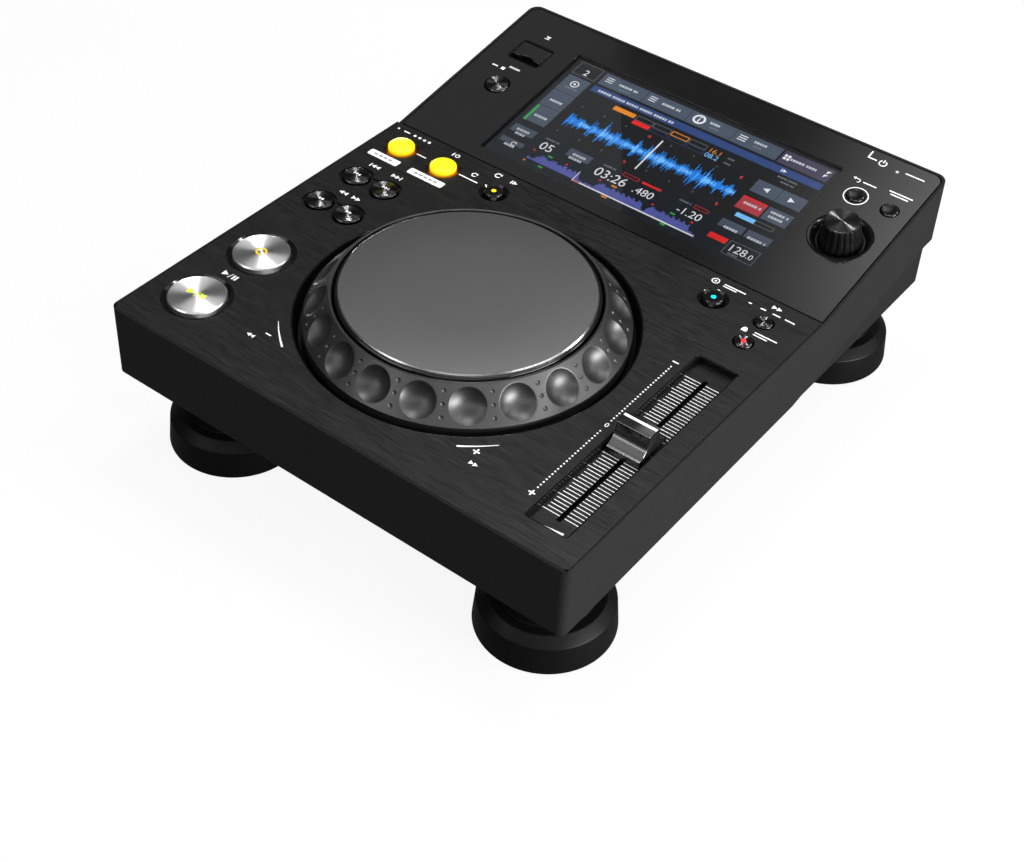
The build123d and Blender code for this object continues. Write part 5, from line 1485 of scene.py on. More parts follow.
@dataclass
class Fader:
    """Fader cap, its sunk bed and the scale in it."""

    pitch: float = 2.0
    marks: int = 51
    every: int = 5
    line: float = 0.36
    gap: float = 1.0
    short: float = 7.2
    long: float = 8.3
    mark_in: float = 0.2
    sunk: float = 4.0
    top: float = 13.2
    lip: float = 3.8
    foot: float = 0.4
    foot_band: float = 1.0
    ridge: float = 3.8
    sag: float = 2.26
    cap_edge: float = 0.35
    cap_line: Pair = (0.9, 2.3)
    cap_line_in: float = 0.3
    cap_line_sunk: float = 0.05
    bed_edge: float = 0.4
    bed_half: float = 61.5
    bed_margin: float = 0.9
    floor_half: float = 9.6
    slot_half: float = 1.05
    slot_end: float = 52.8
    skin: float = 0.02
    wedge: Profile = ((-6.0, -58.8), (6.0, -59.0), (6.0, -56.6), (-6.0, -58.2))

    def side(self, half: float) -> np.ndarray:
        """Outline of the cap seen from its end, closed, from the foot's front corner round.

        The hollow is a circle through the ridge's edge and the lip with the given sag; its radius is
        chord^2 / (8 * sag) + sag / 2. The corners are eased by cap_edge.

        Args:
            half: Half the cap's length.

        Returns:
            Points (y, height over the bed).
        """
        start, end = np.array([self.ridge, self.top]), np.array([half, self.lip])
        chord = end - start
        size = float(np.hypot(*chord))
        radius = size**2 / (8 * self.sag) + self.sag / 2
        out = np.array([-chord[1], chord[0]]) / size
        middle = (start + end) / 2 + out * (radius - self.sag)
        reach = math.asin(size / 2 / radius)
        turn = np.linspace(-reach, reach, 29)[2:-2, None]
        hollow = middle - radius * (np.cos(turn) * out - np.sin(turn) * chord / size)
        ease = self.cap_edge
        rear = np.concatenate([
            offsets(self.ridge, self.top, ((-ease, 0.0), (-0.3 * ease, -0.1 * ease), (0.0, -0.5 * ease))),
            hollow,
            offsets(half, self.lip, ((-0.4 * ease, 0.1 * ease), (0.0, -0.6 * ease))),
            [(half, self.foot)],
        ])
        return np.concatenate([rear, rear[::-1] * [-1.0, 1.0]])

    def cap(self, seat: Seat, wide: float, half: float) -> Piece:
        """The cap: its end outline run across, drawn in at both ends and closed onto its middle line.

        Args:
            seat: Bed face under the cap's middle.
            wide: Half the cap's width.
            half: Half its length.

        Returns:
            The new object.
        """
        y, z = self.side(half).T
        ease = self.cap_edge
        across = np.array([-wide, -wide, 0.35 * ease - wide, ease - wide])
        across = np.concatenate([across, -across[::-1]])[:, None]
        inset = np.array([0.0, 1.0, 0.35, 0.0, 0.0, 0.35, 1.0, 0.0])[:, None] * ease
        keep = np.array([0.0, 1.0, 1.0, 1.0, 1.0, 1.0, 1.0, 0.0])[:, None]
        lowered = inset * (z > self.foot_band)
        points = seat.at(across + 0.0 * y, keep * (y - np.sign(y) * inset), z - lowered)
        return Shell().grid(points, wrap=True).build("fader_cap_moulded", CAP, "fader_cap", True)

    def build(self) -> None:
        """Makes the cap, eases the bed, and prints the scale and the cap's line."""
        eased("fader_bed", BED, self.bed_edge, 3)
        x, y, _ = middle_of("fader_cap")
        wide, half, _ = half_of("fader_cap")
        floor = Seat((x, y, DECK_TOP - self.sunk))
        self.cap(floor, wide, half)
        end = self.bed_half - self.bed_margin
        outer, inner, stop = self.floor_half, self.slot_half, self.slot_end
        runs = [(-outer, -end, -inner, end), (inner, -end, outer, end)]
        runs += [(-inner, -end, inner, -stop), (-inner, stop, inner, end)]
        lay_bars("fader_floor", DECK_SKIN, "fader_bed", floor, runs, -self.skin, self.skin)
        number = np.arange(self.marks)
        place = (number - self.marks // 2) * self.pitch
        low, high = place - self.line / 2, place + self.line / 2
        far = self.gap + np.where(number % self.every == 0, self.long, self.short)
        near = np.full_like(place, self.gap + self.mark_in)
        scale = np.concatenate([np.stack([-far, low, -near, high], -1), np.stack([near, low, far, high], -1)])
        ink_h = self.skin + PRINT_H
        lay_bars("fader_scale", WHITE_INK_PAINTED_GLOW, "fader_bed", floor, scale, self.skin, ink_h)
        Shell().plate(np.array(self.wedge), floor, self.skin, ink_h).build(
            "fader_wedge", WHITE_INK_PAINTED_GLOW, "fader_bed", merge=False)
        ridge = Seat((x, y, float(node_box("fader_cap")[1][2])))
        reach = wide - self.cap_line_in
        line = [(-reach, self.cap_line[0], reach, self.cap_line[1])]
        lay_bars("fader_line", WHITE_INK_PAINTED_GLOW, "fader_cap", ridge, line, -self.cap_line_sunk, PRINT_H)
        dress(STEEL, "fader_lever")
        dress(INNER, "slide_pot")


@dataclass
class Selector:
    """Fluted knob with a spun top, in its polished dish."""

    flutes: int = 20
    flute_r: float = 0.9
    top: float = 9.9
    rows: tuple[Triple, ...] = (
        (7.75, 9.88, 0.0), (7.92, 9.75, 0.0), (7.95, 9.5, 0.0), (8.2, 9.42, 0.7), (8.36, 9.34, 1.0),
        (8.42, 9.2, 1.0), (9.4, 4.0, 1.0), (10.5, -1.8, 1.0), (10.6, -2.05, 1.0), (10.5, -2.2, 1.0),
        (8.8, -2.2, 0.0), (8.8, 0.0, 0.0), (3.1, 0.0, 0.0),
    )
    disc: Profile = ((0.0, 0.0), (3.8, 0.0), (7.4, 0.0), (7.65, -0.01), (7.77, -0.1))
    well_r: float = 15.5
    floor_r: float = 11.4
    depth: float = 3.2
    lip: float = 0.7
    lip_drop: float = 0.1
    crest: Profile = ((-0.35, 0.0), (-0.1, -0.1), (-0.1, -3.6))
    flange: Profile = ((17.5, -3.6), (17.5, -4.8))
    hole_r: float = 3.7
    hole_foot: float = -4.8

    def __post_init__(self) -> None:
        """Finds the knob's axis on the display."""
        self.seat = on_display("selector_well")

    def knob(self) -> Piece:
        """The knob: for each row of radius, height and share, radius - share * scallop(turn).

        The scallop is the part of a circle of flute_r, centred half a flute_r outside the rim, that lies
        inside the rim: max(0, sqrt(flute_r^2 - arc^2) - flute_r / 2) for the arc from the nearest flute.

        Returns:
            The new object.
        """
        turn = np.linspace(0.0, math.tau, self.flutes * 16, endpoint=False)[None, :]
        pitch = math.tau / self.flutes
        offset = (turn + pitch / 2) % pitch - pitch / 2
        radius, height, share = np.array(self.rows).T[:, :, None]
        arc_len = offset * radius
        inside = np.sqrt(np.maximum(self.flute_r**2 - arc_len**2, 0.0)) - self.flute_r / 2
        points = self.seat.around(radius - share * np.maximum(inside, 0.0), turn, height)
        return Shell().grid(points, wrap=True).build("knob_body", KNOB, "selector_knob", True)

    def build(self) -> None:
        """Makes the knob, its spun disc and the dish.

        The dish's bowl has the radius floor_r + run * (1 - cos t) and the height rise * sin(t)^2 - depth, for
        t over a quarter turn.
        """
        self.knob()
        disc = SpunFace("knob_spun", self.seat, grey(0.07), 0.22, groove=0.4, spread=0.08, pitch=0.12)
        Shell().turned(offsets(0.0, self.top, self.disc), self.seat).build("knob_disc", disc, "selector_knob")
        turn = np.linspace(0.0, math.pi / 2, 16)
        run, rise = self.well_r - self.lip - self.floor_r, self.depth - self.lip_drop
        bowl = np.stack([self.floor_r + run * (1 - np.cos(turn)), -self.depth + rise * np.sin(turn) ** 2], -1)
        hole = [(self.hole_r, self.hole_foot), (self.hole_r, -self.depth)]
        profile = np.concatenate([hole, bowl, offsets(self.well_r, 0.0, self.crest), self.flange])
        Shell().turned(profile, self.seat, 120).build("knob_dish", DISH, "selector_well", True)
        dress(STEEL, "selector_shaft")
        dress(INNER, "encoder_body", "encoder_rotor")


@dataclass
class Screen:
    """Touch glass over a lit panel with a plain player layout."""

    half_w: float = 77.4
    low_s: float = 9.8
    high_s: float = 92.4
    glass_low: float = -2.2
    glass_high: float = -1.6
    glass_lap: float = 0.8
    tray_s: float = 37.2
    panel_h: float = -2.66
    layer: float = 0.02
    filled: float = 0.8
    track_x: float = -55.0
    track_end: float = 42.0
    bar: float = 6.6
    wave_s: float = 51.5
    whole_s: float = 17.5

    slate: Pixels = Pixels("panel_slate", (0.070, 0.092, 0.130))
    plum: Pixels = Pixels("panel_plum", (0.060, 0.052, 0.095))
    title: Pixels = Pixels("panel_title", (0.030, 0.065, 0.200))
    night: Pixels = Pixels("panel_night", (0.012, 0.013, 0.015))
    deep: Pixels = Pixels("panel_deep", (0.010, 0.014, 0.020))
    white: Pixels = Pixels("panel_white", (0.80, 0.82, 0.84))
    label: Pixels = Pixels("panel_label", (0.55, 0.58, 0.62))
    dim: Pixels = Pixels("panel_dim", (0.16, 0.18, 0.20))
    azure: Pixels = Pixels("panel_azure", (0.015, 0.26, 0.90))
    sky: Pixels = Pixels("panel_sky", (0.20, 0.55, 1.00))
    violet: Pixels = Pixels("panel_violet", (0.090, 0.105, 0.380))
    orange: Pixels = Pixels("panel_orange", (0.75, 0.25, 0.02))
    red: Pixels = Pixels("panel_red", (0.72, 0.02, 0.02))
    rose: Pixels = Pixels("panel_rose", (0.42, 0.045, 0.06))
    green: Pixels = Pixels("panel_green", (0.03, 0.42, 0.06))

    def draw(self, name: str, finish: Pixels, level: int, spans: list[Span] | np.ndarray) -> None:
        """Draws lit rectangles on the panel.

        Args:
            name: Name of the piece, after its first word.
            finish: What they are lit with.
            level: Layers above the panel's ground.
            spans: Left, lower, right and upper edges.
        """
        low = self.panel_h + level * self.layer
        lay_bars(f"screen_{name}", finish, "lcd_module", DISPLAY, spans, low, low + self.layer * self.filled)

    def words(self, name: str, finish: Pixels, lines: list[Triple], tall: float) -> None:
        """Draws lines of small blocks in place of words.

        Block widths follow 0.55 + 0.45 * (0.618 (n + x) mod 1) of the height for block n of a line at x, with
        a wider gap after every fifth block.

        Args:
            name: Name of the piece.
            finish: What the blocks are lit with.
            lines: Left end, foot and length of each line.
            tall: Height of the blocks.
        """
        spans = []
        for x, s, length in lines:
            number = np.arange(int(length / (0.5 * tall)) + 2)
            width = tall * (0.55 + 0.45 * (0.618 * (number + x) % 1.0))
            gap = tall * np.where(number % 5 == 4, 0.75, 0.24)
            start = x + np.concatenate([[0.0], np.cumsum(width + gap)[:-1]])
            foot = np.full_like(start, s)
            block = np.stack([start, foot, start + width, foot + tall], -1)
            spans.append(block[start + width <= x + length])
        self.draw(name, finish, 2, np.concatenate(spans))

    def write(self, name: str, finish: Pixels, entries: list[tuple[str, float, float, float]]) -> None:
        """Writes plain figures.

        Args:
            name: Name of the piece, after its first word.
            finish: What they are lit with.
            entries: Text, place across, foot up the screen and size.
        """
        shell = Shell()
        for text, x, s, size in entries:
            shell.figures(text, DISPLAY.moved(x, s), size, self.panel_h + 5 * self.layer)
        shell.build(f"screen_{name}", finish, "lcd_module", merge=False)

    def frame_of(self, x0: float, s0: float, x1: float, s1: float, pen: float = 0.25) -> list[Span]:
        """Four bars along the edges of a rectangle."""
        flat = [(x0, s0, x1, s0 + pen), (x0, s1 - pen, x1, s1)]
        return flat + [(x0, s0, x0 + pen, s1), (x1 - pen, s0, x1, s1)]

    def wave(self) -> None:
        """Sound shape: bars whose height is each beat's fall in loudness times a dice-thrown ripple.

        With beat and half from 0 to 1 in a bar and in half of one, the fall is exp(-2.6 beat) +
        0.45 exp(-5 half), and the bars' strength follows 0.55 + 0.45 sin(2.4 n + 0.6)^2.
        """
        x = np.arange(self.track_x, self.track_end, 0.3)
        dice = np.random.default_rng(11)
        along = x - self.track_x
        bar = np.floor(along / self.bar)
        beat = (along / self.bar) % 1.0
        half = (along / (self.bar / 2) + 0.4) % 1.0
        strong = 0.55 + 0.45 * np.sin(bar * 2.4 + 0.6) ** 2
        fall = np.exp(-2.6 * beat) + 0.45 * np.exp(-5.0 * half)
        ripple = 0.25 + 0.75 * dice.random(x.size) ** 1.3
        height = 9.6 * strong * fall * ripple + 0.5 + 1.6 * dice.random(x.size)
        lean = (dice.random(x.size) - 0.5) * 0.35 * height
        middle = self.wave_s + lean
        outer = np.stack([x, middle - height, x + 0.24, middle + height], -1)
        inner = np.stack([x, middle - 0.45 * height, x + 0.3, middle + 0.45 * height], -1)
        pale = dice.random(x.size) * (0.4 + np.sin(bar * 1.7) ** 2) > 0.34
        self.draw("wave", self.azure, 2, outer)
        self.draw("wave_core", self.sky, 3, inner[pale])
        ticks = np.arange(self.track_x + 1.0, self.track_end, self.bar * 2)
        marks = [(t, low, t + 0.4, low + 1.1) for t in ticks for low in (62.0, 41.0)]
        self.draw("beats", self.dim, 2, marks)
        heavy = [(t, low, t + 0.7, low + 2.0) for t in (-13.6, 39.0) for low in (61.6, 39.9)]
        self.draw("bars_red", self.red, 2, heavy)
        self.draw("playhead", self.white, 4, [(-6.7, 39.7, -5.9, 63.5)])

    def overview(self) -> None:
        """Whole track: bars whose height steps through quiet and loud stretches.

        The loudness is the sum, over stretches with a middle and a width, of 1 / (1 + exp(-90 (0.5 -
        |part - middle| / width))), where part runs from 0 to 1 along the track.
        """
        x = np.arange(self.track_x, self.track_end, 0.4)
        part = (x - self.track_x) / (self.track_end - self.track_x)
        middle, width = np.array([(0.17, 0.26), (0.54, 0.27), (0.83, 0.24)]).T[:, :, None]
        loud = np.sum(1.0 / (1.0 + np.exp(-90.0 * (0.5 - np.abs(part - middle) / width))), axis=0)
        ripple = 0.5 + 0.5 * np.sin(x * 23.0 + 3.0 * np.sin(x * 3.1))
        height = 0.5 + 1.0 * ripple + loud * (3.2 + 0.7 * ripple)
        foot = np.full_like(x, self.whole_s)
        self.draw("overview", self.violet, 2, np.stack([x, foot, x + 0.4, foot + height], -1))
        self.draw("position", self.white, 3, [(-27.2, 16.6, 42.2, 17.4), (-27.2, 16.4, -26.8, 23.6)])
        self.draw("past", self.red, 4, [(-26.7, 16.7, -23.0, 17.3)])
        over, under, tall = 23.6, 15.2, 1.0
        green = [(x0, s0, x0 + 2.6, s0 + tall) for x0 in (-46.5, 24.5) for s0 in (over, under)]
        red = [(x0, over, x0 + 1.2, over + tall) for x0 in (-55.4, -36.0, -16.2, 14.0, 36.0)]
        orange = [(-9.0, s0, -6.0, s0 + tall) for s0 in (over, under)] + [(-55.4, under, -54.2, under + tall)]
        self.draw("cue_green", self.green, 3, green)
        self.draw("cue_red", self.red, 3, red)
        self.draw("cue_orange", self.orange, 3, orange)

    def keys(self) -> None:
        """Touch keys, header and title bar."""
        header = [(-58.2 + 26.1 * i, 81.2, -58.2 + 26.1 * i + 25.8, 90.5) for i in range(4)]
        column = [(-74.0, 79.5 - 13.4 * i - 13.1, -60.7, 79.5 - 13.4 * i) for i in range(3)]
        right = [(46.8, 57.2, 60.2, 66.2), (60.5, 57.2, 74.0, 66.2), (61.0, 44.2, 74.2, 53.2)]
        low = [(-74.4, 25.8, -60.8, 35.0), (-74.4, 15.3, -60.8, 24.5), (-40.5, 25.8, -27.2, 35.0),
               (46.8, 25.8, 59.8, 35.0), (61.0, 25.8, 74.0, 35.0)]
        self.draw("keys", self.slate, 1, header + column + right + low)
        self.draw("mode_key", self.plum, 1, [(47.0, 81.0, 74.2, 90.5)])
        self.draw("title", self.title, 1, [(-58.2, 74.8, 74.2, 79.5)])
        self.draw("held_key", self.rose, 1, [(46.8, 44.2, 60.0, 53.2)])
        self.draw("held_edge", self.red, 2, [(46.8, 52.2, 60.0, 53.2)])
        self.draw("source", self.green, 2, [(-73.3, 39.3, -72.2, 52.0)])
        lines = [
            (-48.0, 85.4, 11.0), (-22.0, 85.4, 11.5), (5.6, 86.4, 7.0), (31.0, 86.4, 7.6), (52.0, 85.2, 15.5),
            (-54.4, 76.2, 46.0), (-70.8, 57.6, 8.0), (-70.4, 44.2, 8.0), (-71.4, 31.2, 8.4), (-70.4, 28.4, 6.6),
            (-70.2, 19.2, 6.4), (-37.4, 31.2, 7.4), (-37.8, 28.4, 8.0), (49.2, 48.2, 9.6), (63.2, 49.6, 9.4),
            (63.6, 46.6, 8.6), (50.2, 29.6, 7.2), (63.0, 29.6, 9.8),
        ]
        self.words("labels", self.label, lines, 1.5)
        small = [
            (-46.0, 82.7, 7.0), (7.0, 83.6, 6.0), (32.0, 83.6, 6.2), (-54.8, 33.5, 7.6), (-20.4, 33.5, 8.0),
            (23.2, 33.5, 7.0), (53.0, 72.2, 12.0), (56.0, 69.6, 8.0), (61.0, 16.2, 5.0), (-70.8, 70.0, 7.6),
            (26.6, 69.8, 4.6), (26.6, 66.2, 4.6),
        ]
        self.words("small", self.dim, small, 1.0)
        self.words("chip_words", self.white, [(49.0, 21.9, 6.0)], 1.3)
        rows = [(x, 84.6 + 1.5 * i, x + 4.2, 85.1 + 1.5 * i) for x in (-56.0, -29.9) for i in range(3)]
        rows += [(22.4, 84.4 + 1.6 * i, 27.0, 85.0 + 1.6 * i) for i in range(3)]
        rows += [(-0.6, 84.2, 0.1, 86.8), (-0.6, 87.4, 0.1, 88.1)]
        tiles = [(48.2 + 1.9 * i, 84.3 + 2.1 * j) for i in range(2) for j in range(2)]
        rows += [(x, s, x + 1.4, s + 1.6) for x, s in tiles]
        self.draw("icon_rows", self.white, 2, rows)
        signs = [
            (Glyph.DISC, -67.2, 74.2, 4.2), (Glyph.RING, -0.25, 86.2, 5.6), (Glyph.LOOP, -66.0, 21.9, 2.4),
            (Glyph.MARK, 52.4, 77.2, 2.2),
        ]
        shapes = sign_outlines(signs)
        shapes += [np.array(points) for points in (
            [(51.8, 61.7), (55.0, 60.0), (55.0, 63.4)], [(65.8, 60.0), (69.0, 61.7), (65.8, 63.4)],
            [(71.0, 86.2), (73.2, 88.6), (71.0, 88.6)], [(72.8, 85.8), (70.6, 83.6), (70.6, 85.8)],
        )]
        low_h = self.panel_h + 3 * self.layer
        Shell().plates(shapes, DISPLAY, low_h, low_h + self.layer).build(
            "screen_signs", self.white, "lcd_module", merge=False)

    def readings(self) -> None:
        """Counters, phase boxes and the level chip."""
        low, high, step, wide = 69.0, 72.3, 10.4, 9.8
        left = [-26.8 + step * i for i in range(4)]
        boxes = [bar for x in left for bar in self.frame_of(x, low, x + wide, high)]
        self.draw("phase", self.dim, 2, boxes)
        lit = self.frame_of(-6.0, low, -6.0 + wide, high, 0.5) + [(-40.5, 69.2, -27.8, 72.2)]
        self.draw("phase_on", self.orange, 3, lit)
        low, high = 65.8, 68.6
        self.draw("phase_set", self.red, 3, [(left[0], low, left[0] + wide, high), (47.0, 20.8, 56.8, 24.3)])
        chips = self.frame_of(-9.0, 32.8, 0.0, 35.0) + self.frame_of(31.6, 32.8, 39.4, 35.0)
        self.draw("chips", self.red, 2, chips + [(2.0, 33.2, 12.8, 34.6)])
        left = [-16.2 + step * i for i in range(3)]
        blue = [bar for x in left for bar in self.frame_of(x, low, x + wide, high, 0.2)]
        self.draw("phase_low", self.title, 2, blue)
        self.draw("zoom", self.sky, 2, [(50.3, 39.0, 60.4, 41.8)])
        edges = ((60.4, 39.0, 70.5, 41.8), (-74.0, 81.2, -60.5, 91.0), (58.0, 15.4, 74.0, 24.7))
        self.draw("boxes", self.dim, 2, [bar for edge in edges for bar in self.frame_of(*edge)])
        self.write("figures", self.white, [
            ("2", -67.2, 82.4, 6.0), ("05", -50.8, 26.2, 7.6), ("03:26", -12.6, 25.9, 8.2),
            (".480", 6.4, 25.9, 6.6), ("-1.20", 32.2, 26.2, 6.6), ("128", 64.0, 18.2, 6.6),
            (".0", 70.8, 18.2, 4.6),
        ])
        self.write("figures_warm", self.orange, [("16.1", 19.4, 69.1, 4.4)])
        self.write("figures_cool", self.sky, [("08.2", 19.4, 65.4, 4.4)])

    def build(self) -> None:
        """Makes the glass and the picture behind it."""
        lap = self.glass_lap
        glass = rounded_box(-self.half_w - lap, self.low_s - lap, self.half_w + lap, self.high_s + lap)
        Shell().plate(glass, DISPLAY, self.glass_low, self.glass_high).build(
            "touch_glass", GLASS, "screen_glass", True)
        dress(INNER, "lcd_module")
        self.draw("ground", self.night, 0, [(-self.half_w, self.low_s, self.half_w, self.high_s)])
        inner = self.half_w - 1.0
        self.draw("tray", self.deep, 1, [(-inner, self.low_s + 3.0, inner, self.tray_s)])
        self.keys()
        self.wave()
        self.overview()
        self.readings()


@dataclass
class Printing:
    """White marks on the deck and the display cover."""

    dot_pitch: float = 1.9
    dot_r: float = 0.42
    strip_round: float = 0.8
    strips: tuple[Span, ...] = ((-115.0, 159.1, -97.0, 163.6), (-90.3, 159.1, -69.6, 163.6))
    strip_blocks: tuple[int, ...] = (4, 5)
    arc_r: float = 81.0
    arc_pen: Pair = (0.25, 0.9)

    def deck(self) -> None:
        """Marks of the deck: label strips, dashes, fader dots, wheel arcs and plain signs."""
        spans = [
            (-96.0, 173.6, -90.2, 174.3), (-70.0, 173.6, -58.8, 174.3), (84.2, 125.8, 87.2, 126.5),
            (84.1, 25.3, 87.1, 26.0), (85.25, 24.1, 85.95, 27.2), (-113.4, 184.9, -109.8, 185.6),
            (-82.8, 184.0, -82.2, 186.8), (73.0, 184.6, 84.0, 185.3), (73.0, 183.2, 80.0, 183.8),
            (101.0, 164.6, 112.0, 165.3), (101.0, 163.0, 108.0, 163.6), (-58.4, 29.1, -55.4, 29.8),
            (53.4, 29.4, 56.6, 30.1), (54.65, 28.1, 55.35, 31.4),
        ]
        spans += [(88.0 + 6.2 * i, 180.6, 89.6 + 7.3 * i, 181.3) for i in range(4)]
        dots = np.concatenate([np.arange(*ends, self.dot_pitch) for ends in ((29.4, 73.0), (79.0, 123.0))])
        outlines = [round_outline(85.7, d, self.dot_r, 12) for d in dots]
        outlines += [round_outline(-106.6 + 3.0 * i, 185.3, 0.8, 12) for i in range(4)]
        outlines += [rounded_box(*strip, self.strip_round) for strip in self.strips]
        wheel_d = middle_of("jog_ring")[1] - FRONT
        thin, bold = self.arc_pen
        outlines.append(stroke(arc(0.0, wheel_d, self.arc_r, 222.6, 234.6), thin, bold))
        outlines.append(stroke(arc(0.0, wheel_d, self.arc_r, 305.4, 317.4), bold, thin))
        signs = [
            (Glyph.SKIP_BACK, -104.0, 152.8, 2.6), (Glyph.SKIP_FORWARD, -91.0, 152.8, 2.6),
            (Glyph.BACK, -101.4, 127.1, 2.6), (Glyph.FORWARD, -93.6, 127.1, 2.6),
            (Glyph.RUN_HOLD, -97.0, 48.0, 3.0), (Glyph.LOOP, -64.0, 178.4, 2.6),
            (Glyph.RING, -80.0, 185.3, 2.2), (Glyph.LOOP, -55.0, 185.3, 3.0),
            (Glyph.MARK, -47.0, 185.3, 2.6), (Glyph.DISC, 68.5, 184.6, 3.4), (Glyph.FORWARD, 100.2, 185.2, 2.6),
            (Glyph.LOCK, 96.4, 164.3, 3.2), (Glyph.BACK, -62.5, 24.5, 2.2), (Glyph.FORWARD, 58.5, 23.5, 2.2),
            (Glyph.STOP, -117.0, 185.3, 1.4),
        ]
        outlines += sign_outlines(signs)
        shell = Shell().bars(spans, DECK, 0.0, PRINT_H).plates(outlines, DECK, 0.0, PRINT_H)
        shell.figures("0", DECK.moved(85.8, 74.5), 3.6, PRINT_H)
        shell.build("deck_print", WHITE_INK_PAINTED_GLOW, "deck_plate", merge=False)
        blocks = [
            (strip[0] + 3.0 + 2.9 * i, 160.7, strip[0] + 5.2 + 2.9 * i, 162.0)
            for strip, number in zip(self.strips, self.strip_blocks) for i in range(number)
        ]
        lay_bars("strip_print", GREY_INK, "deck_plate", DECK, blocks, PRINT_H, PRINT_H + 0.02)

    def display(self) -> None:
        """Marks of the display cover: ring round a key, switch line, power and return signs, dashes."""
        spans = [
            (82.5, 105.0, 83.2, 109.8), (82.5, 104.9, 87.4, 105.6), (-110.2, 62.0, -106.8, 62.7),
            (103.0, 104.4, 113.0, 105.1), (102.6, 90.2, 114.6, 90.9), (104.0, 88.4, 113.2, 89.1),
            (89.6, 88.4, 96.6, 89.1),
        ]
        signs = [
            (Glyph.POWER, 90.8, 105.2, 4.0), (Glyph.RETURN, 86.2, 88.8, 3.0), (Glyph.STOP, -103.6, 62.35, 2.6),
            (Glyph.INSERT, -98.6, 94.4, 2.8),
        ]
        outlines = sign_outlines(signs)
        outlines += [stroke(arc(91.4, 78.8, 5.75, start, start + 180), 0.5) for start in (0, 180)]
        Shell().bars(spans, DISPLAY, 0.0, PRINT_H).plates(outlines, DISPLAY, 0.0, PRINT_H).build(
            "display_print", WHITE_INK_PAINTED_GLOW, "display_plate", merge=False)

    def build(self) -> None:
        """Prints the deck and the display cover."""
        self.deck()
        self.display()
        dress(PIPE, "light_pipes")


@dataclass
class Feet:
    """Tall round feet with a soft edged puck, their pads and screws."""

    neck_r: float = 21.0
    puck_r: float = 30.8
    top_r: float = 29.5
    wall_h: float = 15.4
    top_out: float = 0.1
    chamfer: float = 4.2
    height: float = 46.0
    sole: Profile = ((0.0, 2.0), (-0.8, 1.2))
    pocket_r: float = 26.1
    pocket: Pair = (1.2, 3.2)
    bore_r: float = 4.5
    bore_top: float = 34.0
    screw_r: float = 1.7
    corner: float = 0.5

    def build(self) -> None:
        """Turns each foot and dresses pads and screws."""
        shelf = self.wall_h + self.chamfer
        profile = softened([
            (self.screw_r, self.height), (self.neck_r, self.height), (self.neck_r, shelf),
            (self.top_r - self.chamfer, shelf), (self.top_r + self.top_out, self.wall_h),
            *offsets(self.puck_r, 0.0, self.sole), *((self.pocket_r, h) for h in self.pocket),
            (self.bore_r, self.pocket[1]), (self.bore_r, self.bore_top), (self.screw_r, self.bore_top),
        ], self.corner)
        for name in ("front_left", "front_right", "rear_left", "rear_right"):
            x, y, _ = middle_of(f"foot_{name}")
            seat = Seat((x, y, 0.0))
            Shell().turned(profile, seat, 128).build(f"foot_{name}_turned", FOOT, f"foot_{name}", True)
        dress(RUBBER, "foot_pads")
        dress(STEEL, "case_screws")


@dataclass
class Rear:
    """Connector panel and its sockets; its seats are tilted to look to the back."""

    tilt: float = -90.0
    face: float = 136.0
    print_y: float = 138.5
    jack_z: float = 57.5
    line_x: Pair = (46.0, 60.0)
    line_ring: Profile = ((4.3, 1.9), (5.0, 1.9), (5.35, 1.55), (5.35, 0.1))
    line_round: float = 0.2
    net_x: float = -20.0
    net_depth: float = 4.0
    pins: int = 8
    pin: Span = (-4.6, -4.1, -4.0, -1.6)
    pin_pitch: float = 1.2
    pin_h: Pair = (-6.0, 2.0)
    mark_s: Pair = (-68.2, -67.4)
    marks: Profile = ((-93.0, 10.0), (-62.0, 8.0), (-26.0, 12.0), (4.0, 8.0), (44.0, 18.0))

    def build(self) -> None:
        """Eases the sockets, and adds their contacts, the rings of the line outputs and the print."""
        for node, finish, edge, facets in (
            ("rear_panel", LOWER, 0.12, 2), ("power_button", BLACK_KEY, 0.3, 3), ("lan_jack", PLATING, 0.12, 2),
            ("usb_b_jack", PLATING, 0.12, 2), ("ac_inlet", INNER, 0.2, 2), ("rca_jacks", PLATING, 0.1, 2),
        ):
            eased(node, finish, edge, facets)
        ring = softened(self.line_ring, self.line_round)
        for x, name, colour in zip(self.line_x, ("white", "red"), (grey(0.6), (0.5, 0.015, 0.02))):
            finish = MouldedPlastic(f"ring_{name}", colour, 0.4, 0.4)
            seat = Seat((x, self.face, self.jack_z), self.tilt)
            Shell().turned(ring, seat, 48).build(f"line_ring_{name}", finish, "rca_jacks")
        wall = Seat((self.net_x, self.face - self.net_depth, self.jack_z), self.tilt)
        pins = np.array(self.pin) + np.outer(np.arange(self.pins) * self.pin_pitch, (1.0, 0.0, 1.0, 0.0))
        lay_bars("network_contacts", GOLD, "lan_jack", wall, pins, *self.pin_h)
        low, high = self.mark_s
        spans = [(x, low, x + length, high) for x, length in self.marks]
        back = Seat((0.0, self.print_y, 0.0), self.tilt)
        lay_bars("rear_print", WHITE_INK_PAINTED_GLOW, "lower_case", back, spans, 0.0, PRINT_H)


@dataclass
class Inside:
    """Boards and sockets behind the covers."""

    def build(self) -> None:
        """Dresses what lies inside the case."""
        dress(BOARD, "left_board", "right_board", "display_board", "main_board", "power_board")
        dress(PLATING, "usb_socket")


